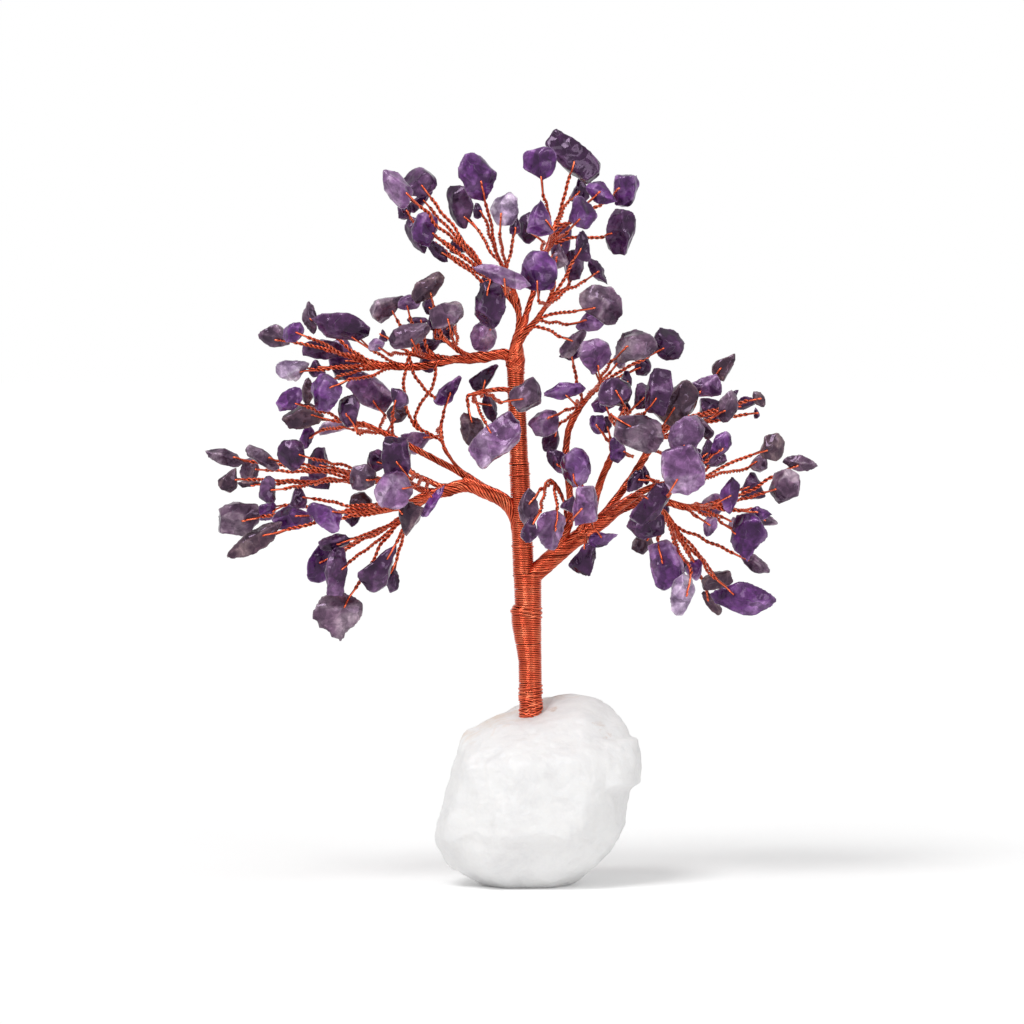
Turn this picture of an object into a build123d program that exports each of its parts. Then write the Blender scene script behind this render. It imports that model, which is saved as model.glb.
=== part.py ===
"""Gemstone tree: amethyst chips on twisted copper wire, standing in a quartz rock.

Millimetres, +Z up, +X to the right of the tree's front, -Y towards the viewer.
The origin is on the flat underside of the rock.
"""

from build123d import *
import math
import os

# Copper wire
wire_radius = 0.16
wrap_wire_radius = 0.20
twist_slack = 0.02
bundle_fill = 0.75
stem_radius = 2 * wire_radius + twist_slack

# Clearances
seat_gap = 0.05
root_gap = 0.30
hole_clearance = 0.16
eye_gap = 0.12
wrap_clearance = 0.05

# Quartz rock: its corners, level by level from the flat underside up
rock_corners = [
    (-14, -4, 0), (-8, -11, 0), (4, -10, 0), (10, -2, 0), (8, 9, 0), (-4, 12, 0), (-13, 7, 0),
    (-22.5, -6, 5), (-12, -18, 6), (6, -17, 6), (16.5, -9, 6), (20, 2, 8), (14, 16, 7),
    (-4, 20, 6), (-19, 12, 6),
    (-27, -3, 12), (-24, -13, 14), (-8, -23, 15), (12, -21, 16), (23, -10, 15), (24.5, 6, 16),
    (15, 20, 15), (-6, 24, 14), (-23, 13, 13),
    (-22.5, -5, 31), (-19, -15, 33), (-4, -20, 34), (14, -18, 35), (26, -9, 33), (27.7, 3, 32),
    (24, 16, 33), (6, 24, 34), (-14, 18, 33),
    (-19.3, 0, 40.3), (-12, -9, 41.2), (1, -9, 43.3), (13, -7, 45), (24.5, 0, 42.5),
    (20.5, 6, 47.5), (15, 7, 50.2), (10, 9, 50.3), (4, 13, 49.2), (-5, 12, 47), (-11, 9, 44.6),
    (16, 17, 46),
]
socket_floor_height = 33.0
socket_radius = 3.1
resin_floor = 1.0
resin_height = 11.0

# Trunk: a straight lower bundle and a slimmer upper one that leans left
trunk_foot_x = -0.9
trunk_fork_x = -1.7
trunk_fork_height = 82.5
upper_foot_x = -3.0
upper_top_x = -5.4
trunk_top_height = 141.0
trunk_splice = 0.5
lower_core_radius = 2.55
upper_foot_radius = 2.2
upper_top_radius = 1.75

# Trunk wrapping
wrap_foot_height = 47.6
wrap_loops_lower = 20
wrap_loops_upper = 24
wrap_end_margin = 0.9
wrap_joint_gap = 1.0
gap_samples = 36

# Bough roots: height on the trunk, and distance of the reading point from the trunk's axis
crown_height = 142.0
left_upper_height = 141.5
left_lower_height = 100.4
left_lower_reach = -1.3
right_height = 82.9
right_reach = 3.27
sprig_height = 131.5
root_swell = 0.25

# Twigs and chips
largest_bend = 4.0
run_share = 0.45
limb_lead = 2.4
stem_lead = 0.9
twig_spacing = 1.25
twig_zone = 0.72
eye_lead = 0.45
eye_rim = 1.35
eye_bend = 0.30
edge_margin = 0.15
hole_inset = 0.42
thickness_share = 0.58
least_thickness = 1.5
largest_thickness = 5.2
depth_spread = 2.0
least_slope = 1e-6

# Turn of each chip about its long axis, in degrees, taken in order
chip_turns = [12, -20, 26, -8, 18, -28, 6, -15, 22, -4]

# Corners of each kind of chip, as shares of its half length, half width and half thickness
chip_corners = {
    "nugget": [
        (1.0, 0.15, 0.05), (0.72, 0.72, 0.25), (0.7, -0.68, -0.1), (0.6, 0.1, 0.85),
        (0.55, -0.1, -0.9), (0.0, 1.0, -0.2), (-0.1, -1.0, 0.2), (-0.15, 0.35, 1.0),
        (-0.1, -0.3, -1.0), (0.1, -0.55, 0.8), (-0.7, 0.75, 0.1), (-0.75, -0.65, 0.3),
        (-0.65, 0.1, -0.8), (-1.0, -0.1, -0.05), (-0.6, 0.0, 0.8),
    ],
    "slab": [
        (1.0, 0.7, 0.5), (1.0, -0.75, 0.4), (0.95, 0.6, -0.6), (0.9, -0.8, -0.5),
        (0.3, 0.95, 1.0), (0.2, -1.0, 0.9), (-0.2, 1.0, -0.9), (-0.1, -0.9, -1.0),
        (-0.95, 0.8, 0.5), (-1.0, -0.6, 0.45), (-0.9, 0.85, -0.55), (-0.95, -0.7, -0.5),
    ],
    "leaf": [
        (1.0, 0.05, 0.0), (0.45, 0.75, 0.3), (0.4, -0.8, 0.2), (0.35, 0.1, 0.9),
        (0.4, -0.1, -0.85), (-0.1, 1.0, 0.1), (-0.15, -1.0, 0.0), (-0.2, 0.05, 1.0),
        (-0.15, 0.0, -1.0), (-0.65, 0.55, -0.1), (-0.6, -0.6, 0.2), (-1.0, -0.05, 0.05),
    ],
    "drop": [
        (1.0, 0.3, 0.3), (1.0, -0.35, -0.2), (0.75, 0.85, -0.2), (0.7, -0.9, 0.25),
        (0.6, 0.2, 1.0), (0.55, -0.1, -1.0), (0.1, 1.0, 0.2), (0.05, -0.95, 0.1),
        (0.0, 0.15, 0.9), (-0.05, -0.2, -0.85), (-0.6, 0.4, 0.2), (-0.6, -0.45, -0.1),
        (-1.0, 0.08, 0.1), (-1.0, -0.12, -0.1),
    ],
    "wedge": [
        (1.0, 0.1, 0.15), (0.95, -0.15, -0.2), (0.1, 0.55, 0.7), (0.05, -0.6, 0.6),
        (0.1, 0.5, -0.65), (0.0, -0.55, -0.75), (-0.75, 1.0, 0.4), (-0.8, -0.95, 0.45),
        (-0.8, 0.9, -0.6), (-0.75, -1.0, -0.4), (-1.0, 0.3, 0.9), (-1.0, -0.3, -0.8),
    ],
    "shard": [
        (1.0, 0.1, 0.1), (0.6, 0.5, 0.4), (0.55, -0.45, -0.3), (0.1, 0.8, 0.8),
        (0.0, -0.75, 0.6), (0.05, 0.7, -0.8), (-0.05, -0.8, -0.7), (-0.7, 1.0, 0.3),
        (-0.8, -0.9, 0.5), (-0.75, 0.7, -1.0), (-1.0, 0.2, 0.4), (-1.0, -0.4, -0.3),
    ],
}

# Limbs: what each grows from, how far along it (None for its tip), and the points of its
# route, as across, up and depth from the root of its bough
limbs = {
    "crown": ("trunk", None, [(0.6, 2.2, 0), (2.0, 6.0, 0), (3.2, 9.5, 0)]),
    "crown_right": ("crown", 3.0, [(6.5, 8.5, -1), (10.5, 15, -2)]),
    "crown_centre": ("crown", 5.0, [(0.5, 15, 2.5), (-4.5, 25, 3)]),
    "crown_left": ("crown", 7.0, [(-2.5, 15.5, -1.5), (-9, 22.5, -2)]),
    "crown_top": ("crown", None, [(6.5, 20, 1), (11, 34, 3)]),
    "left_upper": ("trunk", None, [(-3.9, -0.5, 0), (-10, -1.8, 0), (-17, -2, 0)]),
    "upper_near": ("left_upper", 8.0, [(-15.5, 0.8, -3), (-19, 3.8, -3)]),
    "upper_middle": ("left_upper", 11.0, [(-20, -1.8, 3), (-29, -0.5, 2)]),
    "upper_far": ("left_upper", None, [(-25, -4, 0), (-33, -4, 1), (-41, -2.5, 1)]),
    "left_lower": ("trunk", None, [(-3.6, 2.2, 0), (-8, 4, 0), (-14.5, 7, 0)]),
    "left_rising_arm": ("left_lower", 8.0, [(-16.5, 11, 1), (-19.5, 16, 2)]),
    "left_rising": ("left_rising_arm", None, [(-20.2, 19, 2.5), (-19.8, 22.5, 3)]),
    "left_high_far": ("left_rising_arm", 4.0, [(-23, 13.5, 0), (-31, 17.5, 1), (-41, 22.5, 2)]),
    "left_level_arm": ("left_lower", None, [(-20, 3.8, -1), (-27, 2.2, -2)]),
    "left_near": ("left_level_arm", 5.0, [(-23.5, 7, 1), (-29, 9.5, 1)]),
    "left_far": ("left_level_arm", 9.5, [(-29, 6.5, 4), (-37, 7, 4), (-44, 7, 3)]),
    "left_hanging": ("left_level_arm", 11.0, [(-29, -2.5, 2), (-33, -6, 2)]),
    "left_level": ("left_level_arm", None, [(-32, -0.5, -3), (-39, -1.5, -3)]),
    "trunk_sprig": ("trunk", None, [(-3.0, 0.2, 0), (-7, 0.0, 0), (-13, -1.5, -1)]),
    "right": ("trunk", None, [(2.2, 2.1, 0), (8, 7.3, 0), (13, 10.8, 0)]),
    "right_rising_arm": ("right", 7.0, [(9.5, 14, -1), (9.3, 21, -1)]),
    "right_inner": ("right_rising_arm", 6.0, [(6.5, 23, -5), (3.5, 25.5, -6.5)]),
    "right_top": ("right_rising_arm", None, [(7.5, 32, 2), (9.5, 42, 3.5), (17, 50, 4)]),
    "right_near": ("right", 10.5, [(13.3, 15, -4), (13.8, 21, -4)]),
    "right_outer_arm": ("right", None, [(18, 14, 0), (22, 17.5, 0), (26, 20.8, 0)]),
    "right_middle": ("right_outer_arm", 4.0, [(16.5, 23, 1), (20, 31, 0), (25, 41, -2)]),
    "right_high": ("right_outer_arm", 8.0, [(27, 27, 3), (32, 36, 4), (38, 42, 3)]),
    "right_level": ("right_outer_arm", 12.0, [(31, 24.5, -4), (42, 25, -6)]),
    "right_hanging": ("right_outer_arm", 14.0, [(31, 18, 4), (36, 14, 4), (39, 8, 4)]),
    "right_far": ("right_outer_arm", None, [(33, 19.5, 1), (42, 16.3, 2), (51, 18.5, 2)]),
}

# Chips on each limb: across, up and depth from the root of the bough, length, width,
# lean of the long axis clockwise from upright in degrees, and kind
chips = {
    "crown_left": [
        (-30.4, 42.5, -8, 10.5, 8, -30, "nugget"),
        (-25.2, 44.3, 0, 9, 8, 60, "nugget"),
        (-24.5, 40, 4, 9, 3, 50, "shard"),
        (-29.5, 37, 2.5, 6, 4, 0, "nugget"),
        (-26.2, 30.8, 6, 10.5, 6, -25, "leaf"),
        (-23.3, 32, -4, 8.5, 7.5, 10, "nugget"),
        (-20.5, 26.5, -1, 8, 4, -38, "leaf"),
        (-15, 28.5, 6, 5, 5, 0, "wedge"),
    ],
    "crown_centre": [
        (-10, 46, 0, 12, 9.5, -15, "nugget"),
        (-14.5, 36.9, 7, 12, 7.2, -14, "drop"),
        (-3, 37, -6, 9, 7.5, 10, "nugget"),
        (-9.7, 37.3, -4, 4.5, 2.5, 0, "shard"),
        (0, 33.5, 2, 5, 4, 0, "wedge"),
        (-2.6, 19.5, -13, 15.5, 5.5, 107, "leaf"),
        (-6.8, 12.3, -8, 11.8, 8.8, -12, "nugget"),
        (-8, 18, 5, 4, 3, 0, "wedge"),
        (-8, 3.5, 5, 8.5, 7.5, 0, "nugget"),
    ],
    "crown_top": [
        (7, 48, -3, 10.5, 8.8, -14, "drop"),
        (16, 51, 3, 14.5, 6.6, -52, "slab"),
        (17.5, 43, 8, 7, 5, 0, "wedge"),
        (22.5, 41.5, -2, 9, 6, -60, "leaf"),
        (29.2, 43, 4, 8.6, 5.8, 8, "slab"),
        (18, 36, -5, 9, 7.5, 0, "nugget"),
        (28, 31, 2, 10.5, 6.5, 10, "slab"),
        (6.5, 35.5, -9, 9, 6.5, 0, "wedge"),
        (3.5, 32, 9, 8, 6, 0, "nugget"),
    ],
    "crown_right": [
        (12.5, 29, 6.5, 7.5, 5, 0, "slab"),
        (18, 28, -1.5, 8, 4, 0, "shard"),
        (12, 25, -4.5, 6, 5, 0, "wedge"),
        (6.4, 21, -9, 12, 9.5, 0, "nugget"),
        (15.5, 22.5, 4, 7, 5, 0, "slab"),
        (22, 20.5, 6, 9, 4.6, -35, "leaf"),
        (23.6, 12, -3, 12.5, 9, 118, "nugget"),
        (20, 7.5, 3, 8.5, 5.5, 60, "drop"),
        (16, 2.5, -2, 9, 4.5, 45, "shard"),
    ],
    "upper_near": [
        (-22.7, 17.3, -5, 11, 6.5, 45, "leaf"),
        (-23, 12.3, 5, 5, 3.5, 0, "nugget"),
        (-17.8, 10, -7, 7.5, 6, 80, "slab"),
        (-21.5, 8.5, 1, 5, 4.5, 0, "wedge"),
        (-19, 5, 7, 7, 5.5, 60, "nugget"),
    ],
    "upper_middle": [
        (-33.3, 12.3, 3, 9, 6.5, 60, "wedge"),
        (-28.5, 13, -1.5, 6.5, 4.5, 70, "drop"),
        (-25, 8.3, 3.5, 6, 2, 90, "shard"),
        (-27.5, 4.7, -6, 11.5, 7, 75, "nugget"),
        (-36.3, 2, -5.5, 4.5, 3.5, 90, "nugget"),
        (-35, 4.5, 3, 3.5, 2.5, 0, "wedge"),
        (-23.3, -3.3, 8.5, 5.5, 4.5, 0, "nugget"),
        (-23.5, 1.5, 6, 7, 5, 80, "nugget"),
    ],
    "upper_far": [
        (-64.3, 4, 2, 9, 6.7, 100, "drop"),
        (-58.3, 5.5, -3, 6, 5.5, 30, "nugget"),
        (-54.3, 9, 3, 9.5, 4.5, -12, "leaf"),
        (-44.7, 6.6, -3, 15.8, 8.6, 106, "leaf"),
        (-51, 0.5, 4, 9, 4.5, 90, "slab"),
        (-45.5, -2.5, 7.5, 10, 7, 0, "slab"),
        (-58.8, -4.5, -2, 10, 6.5, 80, "leaf"),
        (-52.5, -4, 1, 4.5, 4.5, 0, "wedge"),
        (-49.7, -10.3, -5, 10, 8, 20, "nugget"),
        (-55, -10, 4.5, 7, 3.5, 0, "shard"),
    ],
    "left_high_far": [
        (-59.5, 28.5, -5, 8, 6, 45, "nugget"),
        (-56.5, 24, 3, 11.5, 7.5, 80, "nugget"),
        (-44, 26, -4, 9, 7.5, 0, "nugget"),
        (-38.8, 30.3, 6, 12, 7, 123, "slab"),
        (-31, 29.7, -4, 6, 5, -30, "wedge"),
        (-31.5, 24.5, 3, 6.5, 6, 0, "nugget"),
        (-48.7, 21, 9.5, 8.5, 3.5, 75, "slab"),
        (-56, 18, 6.5, 8, 5, 20, "leaf"),
    ],
    "left_rising": [
        (-26, 17.3, 7, 7.5, 6.3, 60, "wedge"),
        (-17.5, 31.1, 3, 9, 5, 40, "wedge"),
    ],
    "left_far": [
        (-58.8, 14.8, -5, 8.5, 7.5, 0, "nugget"),
        (-53, 11, 6.5, 7.5, 5, 0, "slab"),
        (-77.3, 13, 2, 10.5, 4.7, 107, "leaf"),
        (-75.5, 7.7, -3, 6, 5.5, 30, "wedge"),
        (-71, 9.7, 6, 6, 5.5, 0, "nugget"),
        (-70.5, 6.3, 0, 6.5, 2, 85, "shard"),
        (-66.2, 12.7, -2, 10, 4, 122, "shard"),
        (-65.5, 5, -7, 6.8, 6.2, 0, "nugget"),
        (-54, 5.7, 9, 7, 2.6, 100, "slab"),
    ],
    "left_level": [
        (-73.8, -3, 0, 10, 7.5, 80, "slab"),
        (-66.5, -1.7, 6, 6.5, 5, 60, "nugget"),
        (-59.3, -2.5, -3, 9.5, 7.3, 90, "nugget"),
        (-57.8, 2.7, 1, 5.5, 5, 0, "wedge"),
        (-69.2, -8.2, -6, 16.8, 6.4, 58, "leaf"),
        (-50.3, -1.5, -7, 10.5, 6.5, 126, "nugget"),
        (-41.5, 0.3, 6, 5.5, 5, 0, "slab"),
        (-43, -3.3, 10, 5, 4, 60, "wedge"),
        (-28.1, -2.4, -7, 9, 7, 192, "wedge"),
    ],
    "left_hanging": [
        (-48, -9, -3, 8, 4.7, 85, "nugget"),
        (-51.8, -15.5, 3, 9, 6, 15, "slab"),
        (-47.5, -16.7, -4, 11, 5, 0, "slab"),
        (-48, -12.3, 7, 4.5, 4, 0, "wedge"),
        (-35.5, -15.5, -3, 12, 8, 35, "wedge"),
        (-33.3, -19, 4, 7.5, 4.2, -15, "shard"),
        (-47.3, -28.6, -2, 11.8, 14.6, -6, "drop"),
    ],
    "left_near": [
        (-40.3, 8.3, -6, 8, 7, 60, "nugget"),
        (-37.5, 12, 4, 5.5, 5, 0, "nugget"),
        (-31.5, 13.3, -7, 9.5, 6.7, 0, "slab"),
        (-33, 17.8, 5, 4.2, 3.7, 0, "wedge"),
        (-32.5, 5.5, -10, 10.3, 9.5, 0, "nugget"),
        (-21.5, 2.5, -6, 9.5, 3, 36, "shard"),
    ],
    "trunk_sprig": [
        (-7.8, 3.7, 4, 9, 4.7, 45, "wedge"),
        (-7.3, -4.7, 6, 9, 4.5, -15, "leaf"),
        (-11.8, -10.5, -1, 9, 6.3, -15, "nugget"),
        (-5.3, -12.8, -8, 13.5, 7.5, 50, "slab"),
        (2.7, -1, -9, 9.7, 9, 20, "nugget"),
    ],
    "right_inner": [
        (-2.3, 17.7, -8, 9.5, 5.5, 0, "nugget"),
        (-1.8, 13.3, -14, 6.7, 4.7, 0, "wedge"),
        (3.5, 10.9, -9, 10.8, 7.8, 4, "drop"),
    ],
    "right_near": [
        (10.3, 29, -6, 10, 9, 0, "nugget"),
        (5.5, 29.7, -1.5, 7, 5, 150, "nugget"),
        (12.7, 18.6, -11, 9, 5.7, 0, "slab"),
        (8.8, 19, -6.5, 4.5, 4, 30, "wedge"),
        (17.7, 9.7, -6, 6.7, 4.7, 75, "wedge"),
        (13.4, 5, -5, 9, 6.3, 28, "wedge"),
    ],
    "right_top": [
        (15.3, 56.5, -4, 10.5, 9.5, 0, "drop"),
        (9.5, 59, 3, 6.5, 5.5, 60, "nugget"),
        (26, 60, -2, 11, 9.5, 60, "nugget"),
        (35, 60.3, 4, 9, 8, -12, "nugget"),
        (28.3, 54.7, 7, 5.5, 5, 0, "nugget"),
        (22.3, 56, 7, 4.3, 3.5, 0, "nugget"),
        (2.5, 39.9, 0, 8, 7.3, 80, "nugget"),
        (3.8, 34.8, 6, 6.3, 5.5, 0, "nugget"),
        (7, 48.3, -4, 10, 5, 80, "drop"),
    ],
    "right_middle": [
        (24, 51.7, 2, 4.5, 4, 0, "wedge"),
        (20.7, 48.3, -7, 8, 6.5, 80, "slab"),
        (18.3, 44.8, 4, 7.5, 5.3, 80, "nugget"),
        (16.2, 39.7, -2, 5.3, 4.7, 0, "nugget"),
        (18.9, 39.5, 5, 4.5, 2.7, 0, "shard"),
        (32.2, 48.3, -6.5, 10.3, 6, 5, "slab"),
        (28.3, 46.7, 4, 7.5, 5, 0, "nugget"),
        (23.8, 44.5, 8, 3.7, 3.2, 0, "wedge"),
        (27, 37.5, -9, 14.2, 9.5, 100, "nugget"),
        (21.5, 33, -4, 6.3, 5.3, 0, "nugget"),
    ],
    "right_high": [
        (37.3, 45, -3, 10.5, 7, 47, "slab"),
        (44, 49, 0, 9.7, 6.5, 80, "drop"),
        (39.7, 36.5, -8, 10.3, 9.3, 30, "nugget"),
        (43.5, 39.7, -5, 8, 3.2, -36, "shard"),
        (46.9, 43.3, 6, 6.3, 5.5, -20, "slab"),
        (50.5, 44.3, -3, 8, 5.5, 20, "nugget"),
        (56, 45, 3, 8, 4, 80, "leaf"),
        (58.8, 46.2, -2, 5, 3, -30, "nugget"),
        (58.7, 42.2, 4.5, 3, 1.8, -10, "shard"),
        (53.2, 47.3, 8, 3, 2, 45, "wedge"),
        (50.7, 55, 5, 7.3, 5.3, 45, "wedge"),
    ],
    "right_level": [
        (38.3, 28, -14, 11.3, 9.5, -10, "slab"),
        (48.5, 34.8, -7, 7, 5.7, 45, "nugget"),
        (45.8, 32.7, -1, 6.3, 5.5, 0, "wedge"),
        (47.7, 30, 5, 5.3, 3.7, 80, "slab"),
        (43.3, 30.7, 5, 4.5, 4, 0, "wedge"),
        (62, 33.6, -3, 7.3, 6.5, 30, "nugget"),
        (60, 29.8, 3, 5.5, 4.5, 20, "wedge"),
        (26, 25.3, -8, 7, 4.5, 30, "leaf"),
        (28.7, 26, -3, 5.7, 3, 0, "leaf"),
    ],
    "right_far": [
        (70, 29, 2, 9, 4.7, 100, "leaf"),
        (65.7, 23, -3, 9, 8.2, 0, "nugget"),
        (57.5, 23.3, 4, 7, 6.5, 0, "wedge"),
        (51.3, 21.3, -5, 10, 5.7, 0, "leaf"),
        (47.2, 17.2, 7, 6, 5, 30, "slab"),
        (46, 13, -3, 6.3, 4.3, 15, "leaf"),
        (59.5, 15.7, 3, 7, 3.7, 90, "leaf"),
        (62.5, 13, 9, 5.3, 3.7, 110, "wedge"),
        (52.8, 13, 5, 3.3, 3, 0, "wedge"),
        (55.4, 9.6, -3, 11.3, 10.6, 0, "drop"),
    ],
    "right_hanging": [
        (30.8, 19.3, -7, 12, 5.7, 43, "slab"),
        (29.8, 13.3, -4, 10, 7.5, 80, "nugget"),
        (33.7, 16, 9, 4.3, 4, 0, "nugget"),
        (28.5, 7.7, 3, 5, 4.5, 20, "slab"),
        (58.3, 2.2, 3, 9.7, 4.7, 126, "leaf"),
        (34.5, 1.7, -3, 11.7, 7.3, -15, "slab"),
        (38, -6.3, -9, 12, 6.5, 8, "drop"),
        (43, 1.3, 4, 5.5, 5, 45, "wedge"),
        (39.5, 1, 7, 3, 2.7, 0, "nugget"),
        (49, -2.5, 7, 8.5, 4, 70, "slab"),
        (54.5, -6.7, -1, 18, 8.7, 95, "leaf"),
        (46.7, -8.3, 8, 7.5, 3.2, -40, "shard"),
    ],
}

lower_foot = Vector(trunk_foot_x, 0, socket_floor_height + resin_floor)
lower_top = Vector(trunk_fork_x, 0, trunk_fork_height)
upper_foot = Vector(upper_foot_x, 0, trunk_fork_height)
upper_top = Vector(upper_top_x, 0, trunk_top_height)


def along_axis(foot, top, height):
    """The point of a straight axis at a height."""
    return foot + (top - foot) * ((height - foot.Z) / (top.Z - foot.Z))


def upper_radius(height):
    """Radius of the upper trunk bundle at a height."""
    share = (height - upper_foot.Z) / (upper_top.Z - upper_foot.Z)
    return upper_foot_radius + (upper_top_radius - upper_foot_radius) * share


def upper_axis(height, reach=0.0):
    """A point of the upper trunk's axis at a height, or beside it."""
    return along_axis(upper_foot, upper_top, height) + Vector(reach, 0, 0)


roots = {
    "crown": upper_axis(crown_height),
    "left_upper": upper_axis(left_upper_height),
    "left_lower": upper_axis(left_lower_height, left_lower_reach),
    "trunk_sprig": upper_axis(sprig_height),
    "right": upper_axis(right_height, right_reach),
}


def bough_of(limb):
    """The bough that a limb grows from in the end."""
    parent = limbs[limb][0]
    return limb if parent == "trunk" else bough_of(parent)


def chips_beyond(limb):
    """How many chips a limb carries, with those of the limbs that grow from it."""
    own = len(chips.get(limb, []))
    return own + sum(chips_beyond(name) for name, row in limbs.items() if row[0] == limb)


def bundle_radius(limb):
    """Radius of the bundle of wires, two for each chip."""
    return wire_radius * math.sqrt(2 * chips_beyond(limb) / bundle_fill)


def from_root(bough, across, up, depth):
    """A point read from the root of a bough."""
    return roots[bough] + Vector(across, depth_spread * depth, up)


def bend_radii(points):
    """The largest bend at each inner point that its two straight runs leave room for."""
    radii = []
    for before, corner, after in zip(points, points[1:], points[2:]):
        run_in = corner - before
        run_out = after - corner
        half_turn = math.radians(run_in.get_angle(run_out)) / 2
        shorter = min(run_in.length, run_out.length)
        radii.append(min(largest_bend, run_share * shorter / math.tan(half_turn)))
    return radii


def bent_wire(points, radius, bends):
    """One round wire along straight runs joined by arcs, and the line it follows."""
    with BuildPart() as wire:
        with BuildLine() as path:
            FilletPolyline(*points, radius=bends)
        with BuildSketch(Plane(origin=path.line @ 0, z_dir=path.line % 0)):
            Circle(radius)
        sweep()
    return wire.part, path.wire()


def square_to(direction, axis):
    """The part of a direction that is square to an axis, as a unit vector."""
    return (direction - axis * direction.dot(axis)).normalized()


def write_node(name, solids):
    """Write one node, a single solid or a group of separate ones."""
    node = solids[0] if len(solids) == 1 else Compound(children=solids)
    node.label = name
    export_step(node, f"parts/{name}.step")


os.makedirs("parts", exist_ok=True)

# Quartz rock with its drilled socket
socket_axis = (lower_top - lower_foot).normalized()
socket_floor = along_axis(lower_foot, lower_top, socket_floor_height)
rock_height = max(height for across, depth, height in rock_corners)
with BuildPart() as quartz_base:
    ConvexPolyhedron(rock_corners)
    with BuildSketch(Plane(origin=socket_floor, z_dir=socket_axis)):
        Circle(socket_radius)
    extrude(amount=rock_height, mode=Mode.SUBTRACT)
write_node("quartz_base", [quartz_base.part])

# Resin that holds the trunk in its socket
with BuildPart() as socket_resin:
    with BuildSketch(Plane(origin=socket_floor + socket_axis * seat_gap, z_dir=socket_axis)):
        Circle(socket_radius - seat_gap)
    extrude(amount=resin_height)
    with BuildSketch(Plane(origin=lower_foot - socket_axis * seat_gap, z_dir=socket_axis)):
        Circle(lower_core_radius + seat_gap)
    extrude(amount=resin_height, mode=Mode.SUBTRACT)
write_node("socket_resin", [socket_resin.part])

# Trunk: the lower and the upper bundle of wires
splice_foot = upper_axis(trunk_fork_height - trunk_splice)
upper_lean = (upper_top - upper_foot).normalized()
with BuildPart() as trunk_core:
    with BuildSketch(Plane(origin=lower_foot, z_dir=socket_axis)):
        Circle(lower_core_radius)
    extrude(amount=(lower_top - lower_foot).length)
    with BuildSketch(Plane(origin=splice_foot, z_dir=upper_lean)) as splice_end:
        Circle(upper_radius(splice_foot.Z))
    with BuildSketch(Plane(origin=upper_top, z_dir=upper_lean)) as top_end:
        Circle(upper_top_radius)
    loft(sections=[splice_end.sketch.face(), top_end.sketch.face()])
write_node("trunk_core", [trunk_core.part])


def winding(foot, top, foot_radius, top_radius, loops):
    """One unbroken wire wound round a straight or tapering bundle, with straight ends."""
    axis = Plane(origin=foot, z_dir=top - foot)
    climb = (top - foot).length / loops
    spread = wrap_clearance + wrap_wire_radius
    widening = (top_radius - foot_radius) / loops

    def point(turn):
        angle = 2 * math.pi * turn
        radius = foot_radius + spread + widening * turn
        return axis.from_local_coords(
            Vector(radius * math.cos(angle), radius * math.sin(angle), climb * turn)
        )

    def heading(turn):
        angle = 2 * math.pi * turn
        radius = foot_radius + spread + widening * turn
        across = widening * math.cos(angle) - 2 * math.pi * radius * math.sin(angle)
        ahead = widening * math.sin(angle) + 2 * math.pi * radius * math.cos(angle)
        local = Vector(across, ahead, climb)
        return (axis.from_local_coords(local) - axis.origin).normalized()

    with BuildPart() as wire:
        with BuildLine() as path:
            Line(point(0) - heading(0) * 2 * wrap_wire_radius, point(0))
            for half in range(2 * loops):
                start = point(half / 2)
                end = point((half + 1) / 2)
                out = heading(half / 2)
                arrive = heading((half + 1) / 2)
                chord = end - start
                opening = 1 - out.dot(arrive)
                pull = chord.dot(out + arrive)
                reach = (math.sqrt(pull**2 + 2 * opening * chord.dot(chord)) - pull) / (2 * opening)
                middle = (start + end + (out - arrive) * reach) / 2
                first = TangentArc(start, middle, tangent=out)
                TangentArc(middle, end, tangent=first % 1)
            Line(point(loops), point(loops) + heading(loops) * 2 * wrap_wire_radius)
        with BuildSketch(Plane(origin=path.line @ 0, z_dir=path.line % 0)):
            Circle(wrap_wire_radius)
        sweep()

    places = [point(step / gap_samples) for step in range(loops * gap_samples + 1)]
    apart = min(
        (places[index] - places[other]).length
        for index in range(len(places))
        for other in range(index + gap_samples // 2, min(index + 2 * gap_samples, len(places)))
    )
    return wire.part, apart - 2 * wrap_wire_radius


# Trunk wrapping: two windings on each bundle, their ends a step apart
lower_wrap_top = trunk_fork_height - wrap_end_margin
lower_wrap_middle = (wrap_foot_height + lower_wrap_top) / 2
upper_wrap_foot = trunk_fork_height + wrap_end_margin
upper_wrap_top = trunk_top_height - wrap_end_margin
upper_wrap_middle = (upper_wrap_foot + upper_wrap_top) / 2
wrap_spans = [
    ("trunk_wrap_foot", wrap_foot_height, lower_wrap_middle - wrap_joint_gap / 2),
    ("trunk_wrap_lower", lower_wrap_middle + wrap_joint_gap / 2, lower_wrap_top),
    ("trunk_wrap_upper", upper_wrap_foot, upper_wrap_middle - wrap_joint_gap / 2),
    ("trunk_wrap_top", upper_wrap_middle + wrap_joint_gap / 2, upper_wrap_top),
]
for name, low, high in wrap_spans:
    if high <= trunk_fork_height:
        low_point = along_axis(lower_foot, lower_top, low)
        high_point = along_axis(lower_foot, lower_top, high)
        wrap, self_gap = winding(
            low_point, high_point, lower_core_radius, lower_core_radius, wrap_loops_lower
        )
    else:
        wrap, self_gap = winding(
            upper_axis(low), upper_axis(high), upper_radius(low), upper_radius(high), wrap_loops_upper
        )
    write_node(name, [wrap])
    print(f"{name}: least gap to itself {self_gap:.2f} mm")


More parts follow.
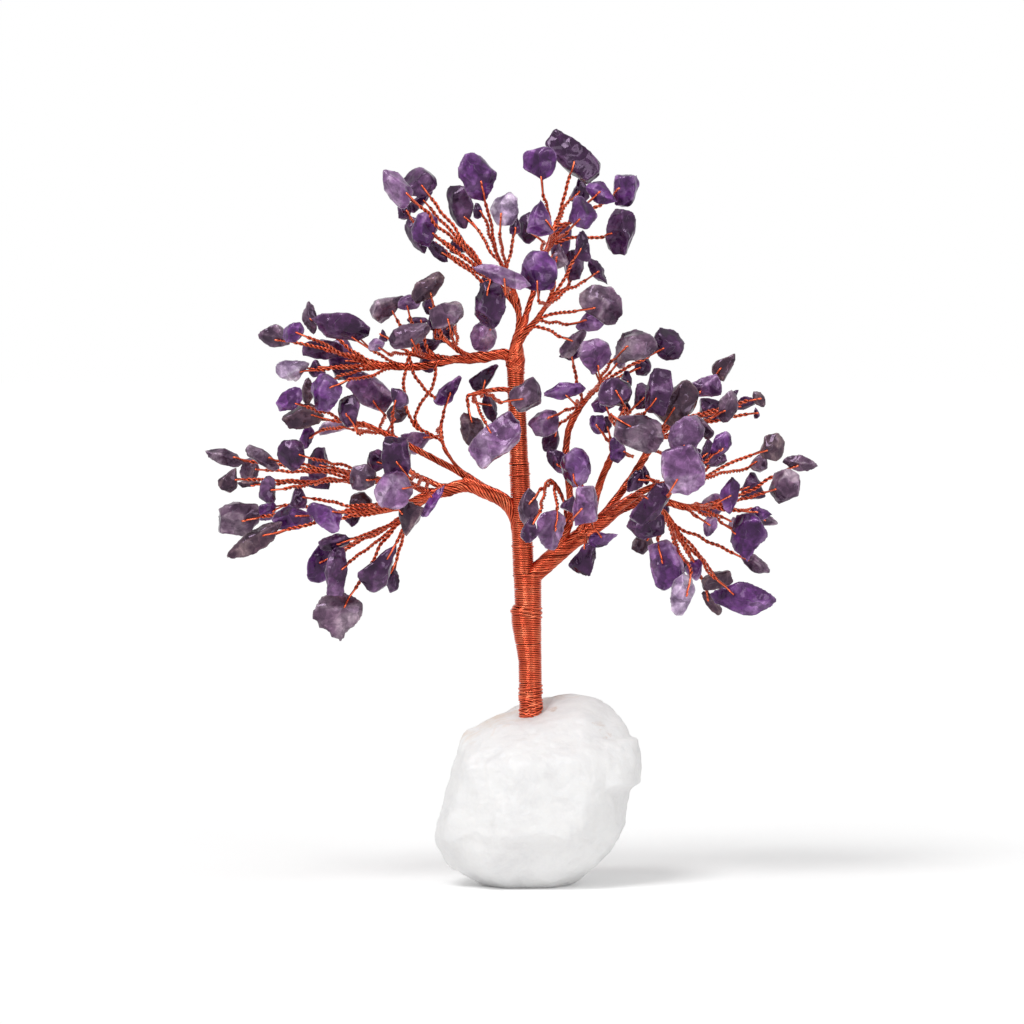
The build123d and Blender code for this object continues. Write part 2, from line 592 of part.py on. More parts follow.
def trunk_seat(bough, swell_radius):
    """Centre of a bough's rounded root, clear of the wrapped trunk."""
    first = from_root(bough, *limbs[bough][2][0])
    wrapped = 2 * wrap_wire_radius + wrap_clearance + root_gap + swell_radius
    if bough == "crown":
        return Vector(first.X, first.Y, upper_top.Z + root_gap + swell_radius)
    side = math.copysign(1, first.X - upper_axis(first.Z).X)
    widest = lower_core_radius if first.Z - swell_radius < trunk_fork_height else upper_radius(first.Z)
    return Vector(upper_axis(first.Z).X + side * (widest + wrapped), first.Y, first.Z)


# Limbs, each starting clear of the side of what it grows from, or on its end
limb_lines = {}
limb_solids = {}
for limb, (parent, leave, route) in limbs.items():
    bough = bough_of(limb)
    radius = bundle_radius(limb)
    points = [from_root(bough, *place) for place in route]
    if parent == "trunk":
        swell = radius + root_swell
        points[0] = trunk_seat(limb, swell)
        print(f"{limb}: root at {points[0].X:.2f}, {points[0].Y:.2f}, {points[0].Z:.2f}")
    elif leave is None:
        tip = limb_lines[parent] @ 1
        points = [tip, tip + (limb_lines[parent] % 1) * limb_lead * radius] + points
    else:
        share = leave / limb_lines[parent].length
        place = limb_lines[parent] @ share
        outward = square_to(points[0] - place, limb_lines[parent] % share)
        start = place + outward * (bundle_radius(parent) + seat_gap)
        points = [start, start + outward * limb_lead * radius] + points
    solid, limb_lines[limb] = bent_wire(points, radius, bend_radii(points))
    if parent == "trunk":
        with BuildPart() as rooted:
            add(solid)
            with Locations(points[0]):
                Sphere(swell)
        solid = rooted.part
    limb_solids[limb] = solid


def chip_plane(bough, row, order):
    """Plane of a chip: X along its length, Z out of its face."""
    across, up, depth, lean = row[0], row[1], row[2], row[5]
    long_axis = Vector(math.sin(math.radians(lean)), 0, math.cos(math.radians(lean)))
    facing = Vector(0, -1, 0).rotate(Axis((0, 0, 0), long_axis), chip_turns[order % len(chip_turns)])
    return Plane(origin=from_root(bough, across, up, depth), x_dir=long_axis, z_dir=facing)


def chip_thickness(row):
    """Thickness of a chip from its width."""
    return min(largest_thickness, max(least_thickness, thickness_share * row[4]))


def strung_chip(bough, row, order, start, outward):
    """One drilled chip, the twisted stem that carries it and the eye of wire through it."""
    length, width, kind = row[3], row[4], row[6]
    thickness = chip_thickness(row)
    plane = chip_plane(bough, row, order)
    centre = plane.origin
    lead = start + outward * stem_lead
    towards = square_to(centre - lead, plane.z_dir)
    along = towards.dot(plane.x_dir)
    beside = towards.dot(plane.y_dir)
    rim = 1 / math.hypot(along / (length / 2), beside / (width / 2))
    box_edge = min(
        length / 2 / max(abs(along), least_slope),
        width / 2 / max(abs(beside), least_slope),
    )
    hole_place = centre - towards * rim * hole_inset
    eye_foot = centre - towards * (box_edge + eye_rim)

    mirrored = -1 if order % 2 else 1
    corners = [
        (x * length / 2, y * mirrored * width / 2, z * mirrored * thickness / 2)
        for x, y, z in chip_corners[kind]
    ]
    with BuildPart() as chip:
        with Locations(plane):
            ConvexPolyhedron(corners)
        with Locations(Plane(origin=hole_place, z_dir=plane.z_dir)):
            Cylinder(wire_radius + hole_clearance, 2 * thickness, mode=Mode.SUBTRACT)

    stem_points = [start, lead, eye_foot - towards * stem_lead, eye_foot]
    stem, _ = bent_wire(stem_points, stem_radius, bend_radii(stem_points))

    pair = plane.z_dir * (wire_radius + twist_slack / 2)
    over = plane.z_dir * (thickness / 2 + eye_gap + wire_radius)
    neck = eye_foot + towards * eye_lead
    brink = centre - towards * (box_edge + edge_margin)
    eye_points = [
        eye_foot + pair, neck + pair, brink + over, hole_place + over,
        hole_place - over, brink - over, neck - pair, eye_foot - pair,
    ]
    eye, _ = bent_wire(eye_points, wire_radius, eye_bend)
    return chip.part, stem, eye


# Chips, stems and eyes of every limb that carries some, the foremost chip at the limb's tip
for limb, line in limb_lines.items():
    bough = bough_of(limb)
    rows = chips.get(limb, [])
    if not rows:
        write_node(f"{limb}_bough" if limb == bough else limb, [limb_solids[limb]])
        continue
    tip = line @ 1
    ahead = line % 1
    foremost = sorted(rows, key=lambda row: -ahead.dot(from_root(bough, *row[:3]) - tip))
    spacing = min(twig_spacing, twig_zone * line.length / len(rows))
    limb_chips = []
    limb_wires = [limb_solids[limb]]
    for order, row in enumerate(foremost):
        if order == 0:
            start, outward = tip, ahead
        else:
            share = 1 - order * spacing / line.length
            place = line @ share
            outward = square_to(from_root(bough, *row[:3]) - place, line % share)
            start = place + outward * (bundle_radius(limb) + seat_gap)
        chip, stem, eye = strung_chip(bough, row, order, start, outward)
        limb_chips.append(chip)
        limb_wires += [stem, eye]
    write_node(f"{limb}_chips", limb_chips)
    write_node(f"{limb}_wires", limb_wires)
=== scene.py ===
"""Gemstone tree: amethyst chips on twisted copper wire, a wrapped trunk and a quartz rock."""
import math
import random

import bmesh
import bpy
from mathutils import Matrix, Vector, noise
from mathutils.bvhtree import BVHTree


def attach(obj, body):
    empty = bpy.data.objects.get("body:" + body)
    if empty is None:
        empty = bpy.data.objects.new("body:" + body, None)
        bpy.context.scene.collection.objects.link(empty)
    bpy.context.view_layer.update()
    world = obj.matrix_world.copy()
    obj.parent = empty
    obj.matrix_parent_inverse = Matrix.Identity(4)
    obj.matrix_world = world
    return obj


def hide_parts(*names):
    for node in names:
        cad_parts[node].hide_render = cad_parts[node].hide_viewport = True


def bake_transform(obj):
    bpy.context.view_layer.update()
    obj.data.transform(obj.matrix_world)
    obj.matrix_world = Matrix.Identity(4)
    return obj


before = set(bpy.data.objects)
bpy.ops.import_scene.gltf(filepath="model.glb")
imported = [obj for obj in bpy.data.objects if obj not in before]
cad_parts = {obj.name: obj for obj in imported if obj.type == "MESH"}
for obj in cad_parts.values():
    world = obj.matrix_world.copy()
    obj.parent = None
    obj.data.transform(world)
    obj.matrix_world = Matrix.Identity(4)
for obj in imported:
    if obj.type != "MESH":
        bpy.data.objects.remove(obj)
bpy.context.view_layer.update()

MM = 0.001

# The vector noise takes its offsets from this seed
noise.seed_set(11)

# Steps along lines, in millimetres
limb_step = 0.45
rope_step = 0.28
stem_step = 0.26
neck_step = 0.3

# Roots of limbs and stems inside the rope that they leave, in millimetres
limb_tail = 5.0
tip_tails = (6, 1.5)
first_stem_tails = (6, 2)
stem_tails = (5, 2)
branch_blend = 4

# Copper wire: radii, pitches and offsets in millimetres, the rest as shares
wire_radius = 0.16
shown_wire_radius = 0.27
least_strand_radius = 0.27
largest_strand_radius = 0.38
strand_share = 0.21
strand_room = 1.94
strand_unevenness = 0.3
core_share = 1.06
least_core_share = 0.5
wrap_wire_radius = 0.24
twist_pitch = 2.8
bundle_fill = 0.75
rope_fullness = 1.13
bough_fullness = {"crown": 0.86}
least_rope_radius = 0.42
rope_slack = 0.05
rope_lay = 4
rope_lay_growth = 5.5
least_strand_offset = 0.16
tight_lay = 0.16
loose_lay = {"left_upper": 0.55, "upper_far": 0.5, "upper_middle": 0.4, "left_level_arm": 0.35}
wrap_pitch = 0.49

# Painted shade of the copper between its strands and where it lies on a stone, from dark at nothing to
# bright at one
rope_shade = 0.12
stem_shade = 0.30
plain_shade = 0.9
shade_start = 0.3
shade_power = 1.6
strand_brightness = 0.92
brightness_spread = 0.5
eye_brightness = 1.3

# Distances in metres under which points are made one
tip_weld = 1e-8
rock_weld = 1e-6

# Trunk and its winding: lengths in millimetres, falls and lifts as shares
lower_foot = Vector((-0.9, 0, 34.0))
lower_top = Vector((-1.7, 0, 82.5))
upper_foot = Vector((-3.0, 0, 82.5))
upper_top = Vector((-5.4, 0, 141.0))
upper_top_radius = 1.75
wrap_clearance = 0.05
neck_height = 139.5
neck_swell = 0.85
neck_fall_below = 0.13
neck_fall_above = 0.24
neck_lay = 15
neck_phase = 0.4
neck_route = [(134.5, 0.0), (141.0, 0.0), (146.5, 1.2)]
knot_top = 73.4
knot_foot = 69.6
knot_shoulder = 1.7
knot_fade = 10.0
knot_swell = 1.55
knot_left_above = 0.36
knot_roundness = 1.5
open_turns = [53.8, 64.2, 78.7, 96.5, 103.0, 119.5, 127.0]
open_turn_push = 0.055
open_turn_reach = 1.4
turn_points = 22
turn_wobble = 0.06
turn_ribs = 0.07
turn_slip = 0.07
crossing_points = 32
crossing_lift = 1.9
crossing_girth = 1.15

# Rock: lengths in millimetres, and how many times and how much it is worn smooth
rock_voxel = 0.55
rock_lump = 17
rock_grain = 4.0
rock_wear = 24
rock_softness = 0.5
rock_lump_height = 0.7
rock_grain_height = 0.34
rock_facet_tilt = 0.02
socket_rim = 3
socket_fade = 6
foot_rim = 0.4
foot_fade = 3
ledge_start = 15
ledge_fade = 7
ledge_foot = 26.2
ledge_waist = 32
ledge_top = 39.4
ledge_lip = 1.4
ledge_relief = 0.9
ledge_flare = 0.16
hollow_foot = 13
hollow_fade = 11

# Chips and their stems: lengths in millimetres, turns in degrees, the rest as shares
depth_spread = 2.0
chip_swell = 1.24
close_swell = {"left_high_far": 1.14}
thickness_share = 0.58
least_thickness = 1.5
largest_thickness = 5.2
eye_rim = 1.35
hole_inset = 0.42
twig_spacing = 1.25
twig_zone = 0.72
chip_turns = [12, -20, 26, -8, 18, -28, 6, -15, 22, -4]
chip_cuts = 11
cut_reach = (0.70, 0.92)
cut_flatness = 0.7
chip_wear = 2
chip_softness = 0.4
least_chip_voxel = 0.30
chip_voxels_across = 18
stem_edge = 0.6
stem_bow = 0.10
stem_slack = 0.78
stem_wave = 5.2
stem_root = 3
stem_root_fade = 4
stem_tip = 1.2
stem_tip_fade = 3
eye_lead = 1.2
eye_margin = 1.12
eye_start = 0.08
eye_spread = 2.2
eye_lift = 0.75
hole_depth = 0.2
eye_shares = (0.25, 0.4, 0.55, 0.7, 0.85, 0.97)
hook_bend = math.pi * 0.85
hook_reach = 0.6
hook_rise = 0.75
hook_every = 3
hook_points = 8
lump_height = 0.065
dent_height = 0.012
ridge_depth = 0.060
least_part = 1e-6

# What lightens or darkens the tone of a chip from place to place: its own clouding and zoning, and
# painted light, as painted glints on facets, a painted glow at the thin rim, painted highlights on
# ridges and painted shade in creases
plain_light = 0.33
cloud_light = 0.46
side_light = 0.34
# Painted glints: facets lighter or darker by the way they face
glint_light = 0.75
# Painted glow of light through the thin rim of a chip
edge_light = 0.30
edge_start = 0.72
# Painted highlights on ridges and painted shade in creases
ridge_highlight_crease_shade_gain = 3.0
ridge_highlight_crease_shade_range = (-0.05, 0.16)
body_light = 0.5
bloom_gain = 1.4

# Corners of each kind of chip, as shares of its half length, half width and half thickness
chip_corners = {
    "nugget": [
        (1.0, 0.15, 0.05), (0.72, 0.72, 0.25), (0.7, -0.68, -0.1), (0.6, 0.1, 0.85),
        (0.55, -0.1, -0.9), (0.0, 1.0, -0.2), (-0.1, -1.0, 0.2), (-0.15, 0.35, 1.0),
        (-0.1, -0.3, -1.0), (0.1, -0.55, 0.8), (-0.7, 0.75, 0.1), (-0.75, -0.65, 0.3),
        (-0.65, 0.1, -0.8), (-1.0, -0.1, -0.05), (-0.6, 0.0, 0.8),
    ],
    "slab": [
        (1.0, 0.7, 0.5), (1.0, -0.75, 0.4), (0.95, 0.6, -0.6), (0.9, -0.8, -0.5),
        (0.3, 0.95, 1.0), (0.2, -1.0, 0.9), (-0.2, 1.0, -0.9), (-0.1, -0.9, -1.0),
        (-0.95, 0.8, 0.5), (-1.0, -0.6, 0.45), (-0.9, 0.85, -0.55), (-0.95, -0.7, -0.5),
    ],
    "leaf": [
        (1.0, 0.05, 0.0), (0.45, 0.75, 0.3), (0.4, -0.8, 0.2), (0.35, 0.1, 0.9),
        (0.4, -0.1, -0.85), (-0.1, 1.0, 0.1), (-0.15, -1.0, 0.0), (-0.2, 0.05, 1.0),
        (-0.15, 0.0, -1.0), (-0.65, 0.55, -0.1), (-0.6, -0.6, 0.2), (-1.0, -0.05, 0.05),
    ],
    "drop": [
        (1.0, 0.3, 0.3), (1.0, -0.35, -0.2), (0.75, 0.85, -0.2), (0.7, -0.9, 0.25),
        (0.6, 0.2, 1.0), (0.55, -0.1, -1.0), (0.1, 1.0, 0.2), (0.05, -0.95, 0.1),
        (0.0, 0.15, 0.9), (-0.05, -0.2, -0.85), (-0.6, 0.4, 0.2), (-0.6, -0.45, -0.1),
        (-1.0, 0.08, 0.1), (-1.0, -0.12, -0.1),
    ],
    "wedge": [
        (1.0, 0.1, 0.15), (0.95, -0.15, -0.2), (0.1, 0.55, 0.7), (0.05, -0.6, 0.6),
        (0.1, 0.5, -0.65), (0.0, -0.55, -0.75), (-0.75, 1.0, 0.4), (-0.8, -0.95, 0.45),
        (-0.8, 0.9, -0.6), (-0.75, -1.0, -0.4), (-1.0, 0.3, 0.9), (-1.0, -0.3, -0.8),
    ],
    "shard": [
        (1.0, 0.1, 0.1), (0.6, 0.5, 0.4), (0.55, -0.45, -0.3), (0.1, 0.8, 0.8),
        (0.0, -0.75, 0.6), (0.05, 0.7, -0.8), (-0.05, -0.8, -0.7), (-0.7, 1.0, 0.3),
        (-0.8, -0.9, 0.5), (-0.75, 0.7, -1.0), (-1.0, 0.2, 0.4), (-1.0, -0.4, -0.3),
    ],
}

# Limbs: what each grows from, how far along it (None for its tip), and the points of its
# route, as across, up and depth from the root of its bough
limbs = {
    "crown": ("trunk", None, [(0.6, 2.2, 0), (2.0, 6.0, 0), (3.2, 9.5, 0)]),
    "crown_right": ("crown", 3.0, [(6.5, 8.5, -1), (10.5, 15, -2)]),
    "crown_centre": ("crown", 5.0, [(0.5, 15, 2.5), (-4.5, 25, 3)]),
    "crown_left": ("crown", 7.0, [(-2.5, 15.5, -1.5), (-9, 22.5, -2)]),
    "crown_top": ("crown", None, [(6.5, 20, 1), (11, 34, 3)]),
    "left_upper": ("trunk", None, [(-3.9, -0.5, 0), (-10, -1.8, 0), (-17, -2, 0)]),
    "upper_near": ("left_upper", 8.0, [(-15.5, 0.8, -3), (-19, 3.8, -3)]),
    "upper_middle": ("left_upper", 11.0, [(-20, -1.8, 3), (-29, -0.5, 2)]),
    "upper_far": ("left_upper", None, [(-25, -4, 0), (-33, -4, 1), (-41, -2.5, 1)]),
    "left_lower": ("trunk", None, [(-3.6, 2.2, 0), (-8, 4, 0), (-14.5, 7, 0)]),
    "left_rising_arm": ("left_lower", 8.0, [(-16.5, 11, 1), (-19.5, 16, 2)]),
    "left_rising": ("left_rising_arm", None, [(-20.2, 19, 2.5), (-19.8, 22.5, 3)]),
    "left_high_far": ("left_rising_arm", 4.0, [(-23, 13.5, 0), (-31, 17.5, 1), (-41, 22.5, 2)]),
    "left_level_arm": ("left_lower", None, [(-20, 3.8, -1), (-27, 2.2, -2)]),
    "left_near": ("left_level_arm", 5.0, [(-23.5, 7, 1), (-29, 9.5, 1)]),
    "left_far": ("left_level_arm", 9.5, [(-29, 6.5, 4), (-37, 7, 4), (-44, 7, 3)]),
    "left_hanging": ("left_level_arm", 11.0, [(-29, -2.5, 2), (-33, -6, 2)]),
    "left_level": ("left_level_arm", None, [(-32, -0.5, -3), (-39, -1.5, -3)]),
    "trunk_sprig": ("trunk", None, [(-3.0, 0.2, 0), (-7, 0.0, 0), (-13, -1.5, -1)]),
    "right": ("trunk", None, [(2.2, 2.1, 0), (8, 7.3, 0), (13, 10.8, 0)]),
    "right_rising_arm": ("right", 7.0, [(9.5, 14, -1), (9.3, 21, -1)]),
    "right_inner": ("right_rising_arm", 6.0, [(6.5, 23, -5), (3.5, 25.5, -6.5)]),
    "right_top": ("right_rising_arm", None, [(7.5, 32, 2), (9.5, 42, 3.5), (17, 50, 4)]),
    "right_near": ("right", 10.5, [(13.3, 15, -4), (13.8, 21, -4)]),
    "right_outer_arm": ("right", None, [(18, 14, 0), (22, 17.5, 0), (26, 20.8, 0)]),
    "right_middle": ("right_outer_arm", 4.0, [(16.5, 23, 1), (20, 31, 0), (25, 41, -2)]),
    "right_high": ("right_outer_arm", 8.0, [(27, 27, 3), (32, 36, 4), (38, 42, 3)]),
    "right_level": ("right_outer_arm", 12.0, [(31, 24.5, -4), (42, 25, -6)]),
    "right_hanging": ("right_outer_arm", 14.0, [(31, 18, 4), (36, 14, 4), (39, 8, 4)]),
    "right_far": ("right_outer_arm", None, [(33, 19.5, 1), (42, 16.3, 2), (51, 18.5, 2)]),
}

# Bare twisted ties that lead from a limb up to the bough above it, as places in millimetres
ties = {
    "left_rising": [
        [(-24.6, 4.6, 117.8), (-28.5, 4.2, 119.9), (-32.9, 3.2, 122.4), (-34.5, 1.2, 127.7),
         (-34.8, -1.2, 132.8), (-34.4, -3.0, 136.6), (-32.9, -3.6, 141.6)],
        [(-30.2, 4.0, 120.9), (-32.6, 3.4, 123.2), (-30.5, 2.0, 127.0), (-28.2, 0.0, 130.0),
         (-26.5, -2.0, 133.3), (-26.3, -3.4, 139.0)],
        [(-26.2, 0.4, 129.2), (-28.3, -0.4, 130.4), (-30.4, -2.2, 133.4), (-32.4, -3.6, 137.3),
         (-33.4, -4.0, 140.6)],
    ],
}

# Chips on each limb: across, up and depth from the root of the bough, length, width,
# lean of the long axis clockwise from upright in degrees, and kind
chips = {
    "crown_left": [
        (-30.4, 42.5, -8, 10.5, 8, -30, "nugget"),
        (-25.2, 44.3, 0, 9, 8, 60, "nugget"),
        (-24.5, 40, 4, 9, 3, 50, "shard"),
        (-29.5, 37, 2.5, 6, 4, 0, "nugget"),
        (-26.2, 30.8, 6, 10.5, 6, -25, "leaf"),
        (-23.3, 32, -4, 8.5, 7.5, 10, "nugget"),
        (-20.5, 26.5, -1, 8, 4, -38, "leaf"),
        (-15, 28.5, 6, 5, 5, 0, "wedge"),
    ],
    "crown_centre": [
        (-10, 46, 0, 12, 9.5, -15, "nugget"),
        (-14.5, 36.9, 7, 12, 7.2, -14, "drop"),
        (-3, 37, -6, 9, 7.5, 10, "nugget"),
        (-9.7, 37.3, -4, 4.5, 2.5, 0, "shard"),
        (0, 33.5, 2, 5, 4, 0, "wedge"),
        (-2.6, 19.5, -13, 15.5, 5.5, 107, "leaf"),
        (-6.8, 12.3, -8, 11.8, 8.8, -12, "nugget"),
        (-8, 18, 5, 4, 3, 0, "wedge"),
        (-8, 3.5, 5, 8.5, 7.5, 0, "nugget"),
    ],
    "crown_top": [
        (7, 48, -3, 10.5, 8.8, -14, "drop"),
        (16, 51, 3, 14.5, 6.6, -52, "slab"),
        (17.5, 43, 8, 7, 5, 0, "wedge"),
        (22.5, 41.5, -2, 9, 6, -60, "leaf"),
        (29.2, 43, 4, 8.6, 5.8, 8, "slab"),
        (18, 36, -5, 9, 7.5, 0, "nugget"),
        (28, 31, 2, 10.5, 6.5, 10, "slab"),
        (6.5, 35.5, -9, 9, 6.5, 0, "wedge"),
        (3.5, 32, 9, 8, 6, 0, "nugget"),
    ],
    "crown_right": [
        (12.5, 29, 6.5, 7.5, 5, 0, "slab"),
        (18, 28, -1.5, 8, 4, 0, "shard"),
        (12, 25, -4.5, 6, 5, 0, "wedge"),
        (6.4, 21, -9, 12, 9.5, 0, "nugget"),
        (15.5, 22.5, 4, 7, 5, 0, "slab"),
        (22, 20.5, 6, 9, 4.6, -35, "leaf"),
        (23.6, 12, -3, 12.5, 9, 118, "nugget"),
        (20, 7.5, 3, 8.5, 5.5, 60, "drop"),
        (16, 2.5, -2, 9, 4.5, 45, "shard"),
    ],
    "upper_near": [
        (-22.7, 17.3, -5, 11, 6.5, 45, "leaf"),
        (-23, 12.3, 5, 5, 3.5, 0, "nugget"),
        (-17.8, 10, -7, 7.5, 6, 80, "slab"),
        (-21.5, 8.5, 1, 5, 4.5, 0, "wedge"),
        (-19, 5, 7, 7, 5.5, 60, "nugget"),
    ],
    "upper_middle": [
        (-33.3, 12.3, 3, 9, 6.5, 60, "wedge"),
        (-28.5, 13, -1.5, 6.5, 4.5, 70, "drop"),
        (-25, 8.3, 3.5, 6, 2, 90, "shard"),
        (-27.5, 4.7, -6, 11.5, 7, 75, "nugget"),
        (-36.3, 2, -5.5, 4.5, 3.5, 90, "nugget"),
        (-35, 4.5, 3, 3.5, 2.5, 0, "wedge"),
        (-23.3, -3.3, 8.5, 5.5, 4.5, 0, "nugget"),
        (-23.5, 1.5, 6, 7, 5, 80, "nugget"),
    ],
    "upper_far": [
        (-64.3, 4, 2, 9, 6.7, 100, "drop"),
        (-58.3, 5.5, -3, 6, 5.5, 30, "nugget"),
        (-54.3, 9, 3, 9.5, 4.5, -12, "leaf"),
        (-44.7, 6.6, -3, 15.8, 8.6, 106, "leaf"),
        (-51, 0.5, 4, 9, 4.5, 90, "slab"),
        (-45.5, -2.5, 7.5, 10, 7, 0, "slab"),
        (-58.8, -4.5, -2, 10, 6.5, 80, "leaf"),
        (-52.5, -4, 1, 4.5, 4.5, 0, "wedge"),
        (-49.7, -10.3, -5, 10, 8, 20, "nugget"),
        (-55, -10, 4.5, 7, 3.5, 0, "shard"),
    ],
    "left_high_far": [
        (-59.5, 28.5, -5, 8, 6, 45, "nugget"),
        (-56.5, 24, 3, 11.5, 7.5, 80, "nugget"),
        (-44, 26, -4, 9, 7.5, 0, "nugget"),
        (-38.8, 30.3, 6, 12, 7, 123, "slab"),
        (-31, 29.7, -4, 6, 5, -30, "wedge"),
        (-31.5, 24.5, 3, 6.5, 6, 0, "nugget"),
        (-48.7, 21, 9.5, 8.5, 3.5, 75, "slab"),
        (-56, 18, 6.5, 8, 5, 20, "leaf"),
    ],
    "left_rising": [
        (-26, 17.3, 7, 7.5, 6.3, 60, "wedge"),
        (-17.5, 31.1, 3, 9, 5, 40, "wedge"),
    ],
    "left_far": [
        (-58.8, 14.8, -5, 8.5, 7.5, 0, "nugget"),
        (-53, 11, 6.5, 7.5, 5, 0, "slab"),
        (-77.3, 13, 2, 10.5, 4.7, 107, "leaf"),
        (-75.5, 7.7, -3, 6, 5.5, 30, "wedge"),
        (-71, 9.7, 6, 6, 5.5, 0, "nugget"),
        (-70.5, 6.3, 0, 6.5, 2, 85, "shard"),
        (-66.2, 12.7, -2, 10, 4, 122, "shard"),
        (-65.5, 5, -7, 6.8, 6.2, 0, "nugget"),
        (-54, 5.7, 9, 7, 2.6, 100, "slab"),
    ],
    "left_level": [
        (-73.8, -3, 0, 10, 7.5, 80, "slab"),
        (-66.5, -1.7, 6, 6.5, 5, 60, "nugget"),
        (-59.3, -2.5, -3, 9.5, 7.3, 90, "nugget"),
        (-57.8, 2.7, 1, 5.5, 5, 0, "wedge"),
        (-69.2, -8.2, -6, 16.8, 6.4, 58, "leaf"),
        (-50.3, -1.5, -7, 10.5, 6.5, 126, "nugget"),
        (-41.5, 0.3, 6, 5.5, 5, 0, "slab"),
        (-43, -3.3, 10, 5, 4, 60, "wedge"),
        (-28.1, -2.4, -7, 9, 7, 192, "wedge"),
    ],
    "left_hanging": [
        (-48, -9, -3, 8, 4.7, 85, "nugget"),
        (-51.8, -15.5, 3, 9, 6, 15, "slab"),
        (-47.5, -16.7, -4, 11, 5, 0, "slab"),
        (-48, -12.3, 7, 4.5, 4, 0, "wedge"),
        (-35.5, -15.5, -3, 12, 8, 35, "wedge"),
        (-33.3, -19, 4, 7.5, 4.2, -15, "shard"),
        (-47.3, -28.6, -2, 11.8, 14.6, -6, "drop"),
    ],
    "left_near": [
        (-40.3, 8.3, -6, 8, 7, 60, "nugget"),
        (-37.5, 12, 4, 5.5, 5, 0, "nugget"),
        (-31.5, 13.3, -7, 9.5, 6.7, 0, "slab"),
        (-33, 17.8, 5, 4.2, 3.7, 0, "wedge"),
        (-32.5, 5.5, -10, 10.3, 9.5, 0, "nugget"),
        (-21.5, 2.5, -6, 9.5, 3, 36, "shard"),
    ],
    "trunk_sprig": [
        (-7.8, 3.7, 4, 9, 4.7, 45, "wedge"),
        (-7.3, -4.7, 6, 9, 4.5, -15, "leaf"),
        (-11.8, -10.5, -1, 9, 6.3, -15, "nugget"),
        (-5.3, -12.8, -8, 13.5, 7.5, 50, "slab"),
        (2.7, -1, -9, 9.7, 9, 20, "nugget"),
    ],
    "right_inner": [
        (-2.3, 17.7, -8, 9.5, 5.5, 0, "nugget"),
        (-1.8, 13.3, -14, 6.7, 4.7, 0, "wedge"),
        (3.5, 10.9, -9, 10.8, 7.8, 4, "drop"),
    ],
    "right_near": [
        (10.3, 29, -6, 10, 9, 0, "nugget"),
        (5.5, 29.7, -1.5, 7, 5, 150, "nugget"),
        (12.7, 18.6, -11, 9, 5.7, 0, "slab"),
        (8.8, 19, -6.5, 4.5, 4, 30, "wedge"),
        (17.7, 9.7, -6, 6.7, 4.7, 75, "wedge"),
        (13.4, 5, -5, 9, 6.3, 28, "wedge"),
    ],
    "right_top": [
        (15.3, 56.5, -4, 10.5, 9.5, 0, "drop"),
        (9.5, 59, 3, 6.5, 5.5, 60, "nugget"),
        (26, 60, -2, 11, 9.5, 60, "nugget"),
        (35, 60.3, 4, 9, 8, -12, "nugget"),
        (28.3, 54.7, 7, 5.5, 5, 0, "nugget"),
        (22.3, 56, 7, 4.3, 3.5, 0, "nugget"),
        (2.5, 39.9, 0, 8, 7.3, 80, "nugget"),
        (3.8, 34.8, 6, 6.3, 5.5, 0, "nugget"),
        (7, 48.3, -4, 10, 5, 80, "drop"),
    ],
    "right_middle": [
        (24, 51.7, 2, 4.5, 4, 0, "wedge"),
        (20.7, 48.3, -7, 8, 6.5, 80, "slab"),
        (18.3, 44.8, 4, 7.5, 5.3, 80, "nugget"),
        (16.2, 39.7, -2, 5.3, 4.7, 0, "nugget"),
        (18.9, 39.5, 5, 4.5, 2.7, 0, "shard"),
        (32.2, 48.3, -6.5, 10.3, 6, 5, "slab"),
        (28.3, 46.7, 4, 7.5, 5, 0, "nugget"),
        (23.8, 44.5, 8, 3.7, 3.2, 0, "wedge"),
        (27, 37.5, -9, 14.2, 9.5, 100, "nugget"),
        (21.5, 33, -4, 6.3, 5.3, 0, "nugget"),
    ],
    "right_high": [
        (37.3, 45, -3, 10.5, 7, 47, "slab"),
        (44, 49, 0, 9.7, 6.5, 80, "drop"),
        (39.7, 36.5, -8, 10.3, 9.3, 30, "nugget"),
        (43.5, 39.7, -5, 8, 3.2, -36, "shard"),
        (46.9, 43.3, 6, 6.3, 5.5, -20, "slab"),
        (50.5, 44.3, -3, 8, 5.5, 20, "nugget"),
        (56, 45, 3, 8, 4, 80, "leaf"),
        (58.8, 46.2, -2, 5, 3, -30, "nugget"),
        (58.7, 42.2, 4.5, 3, 1.8, -10, "shard"),
        (53.2, 47.3, 8, 3, 2, 45, "wedge"),
        (50.7, 55, 5, 7.3, 5.3, 45, "wedge"),
    ],
    "right_level": [
        (38.3, 28, -14, 11.3, 9.5, -10, "slab"),
        (48.5, 34.8, -7, 7, 5.7, 45, "nugget"),
        (45.8, 32.7, -1, 6.3, 5.5, 0, "wedge"),
        (47.7, 30, 5, 5.3, 3.7, 80, "slab"),
        (43.3, 30.7, 5, 4.5, 4, 0, "wedge"),
        (62, 33.6, -3, 7.3, 6.5, 30, "nugget"),
        (60, 29.8, 3, 5.5, 4.5, 20, "wedge"),
        (26, 25.3, -8, 7, 4.5, 30, "leaf"),
        (28.7, 26, -3, 5.7, 3, 0, "leaf"),
    ],
    "right_far": [
        (70, 29, 2, 9, 4.7, 100, "leaf"),
        (65.7, 23, -3, 9, 8.2, 0, "nugget"),
        (57.5, 23.3, 4, 7, 6.5, 0, "wedge"),
        (51.3, 21.3, -5, 10, 5.7, 0, "leaf"),
        (47.2, 17.2, 7, 6, 5, 30, "slab"),
        (46, 13, -3, 6.3, 4.3, 15, "leaf"),
        (59.5, 15.7, 3, 7, 3.7, 90, "leaf"),
        (62.5, 13, 9, 5.3, 3.7, 110, "wedge"),
        (52.8, 13, 5, 3.3, 3, 0, "wedge"),
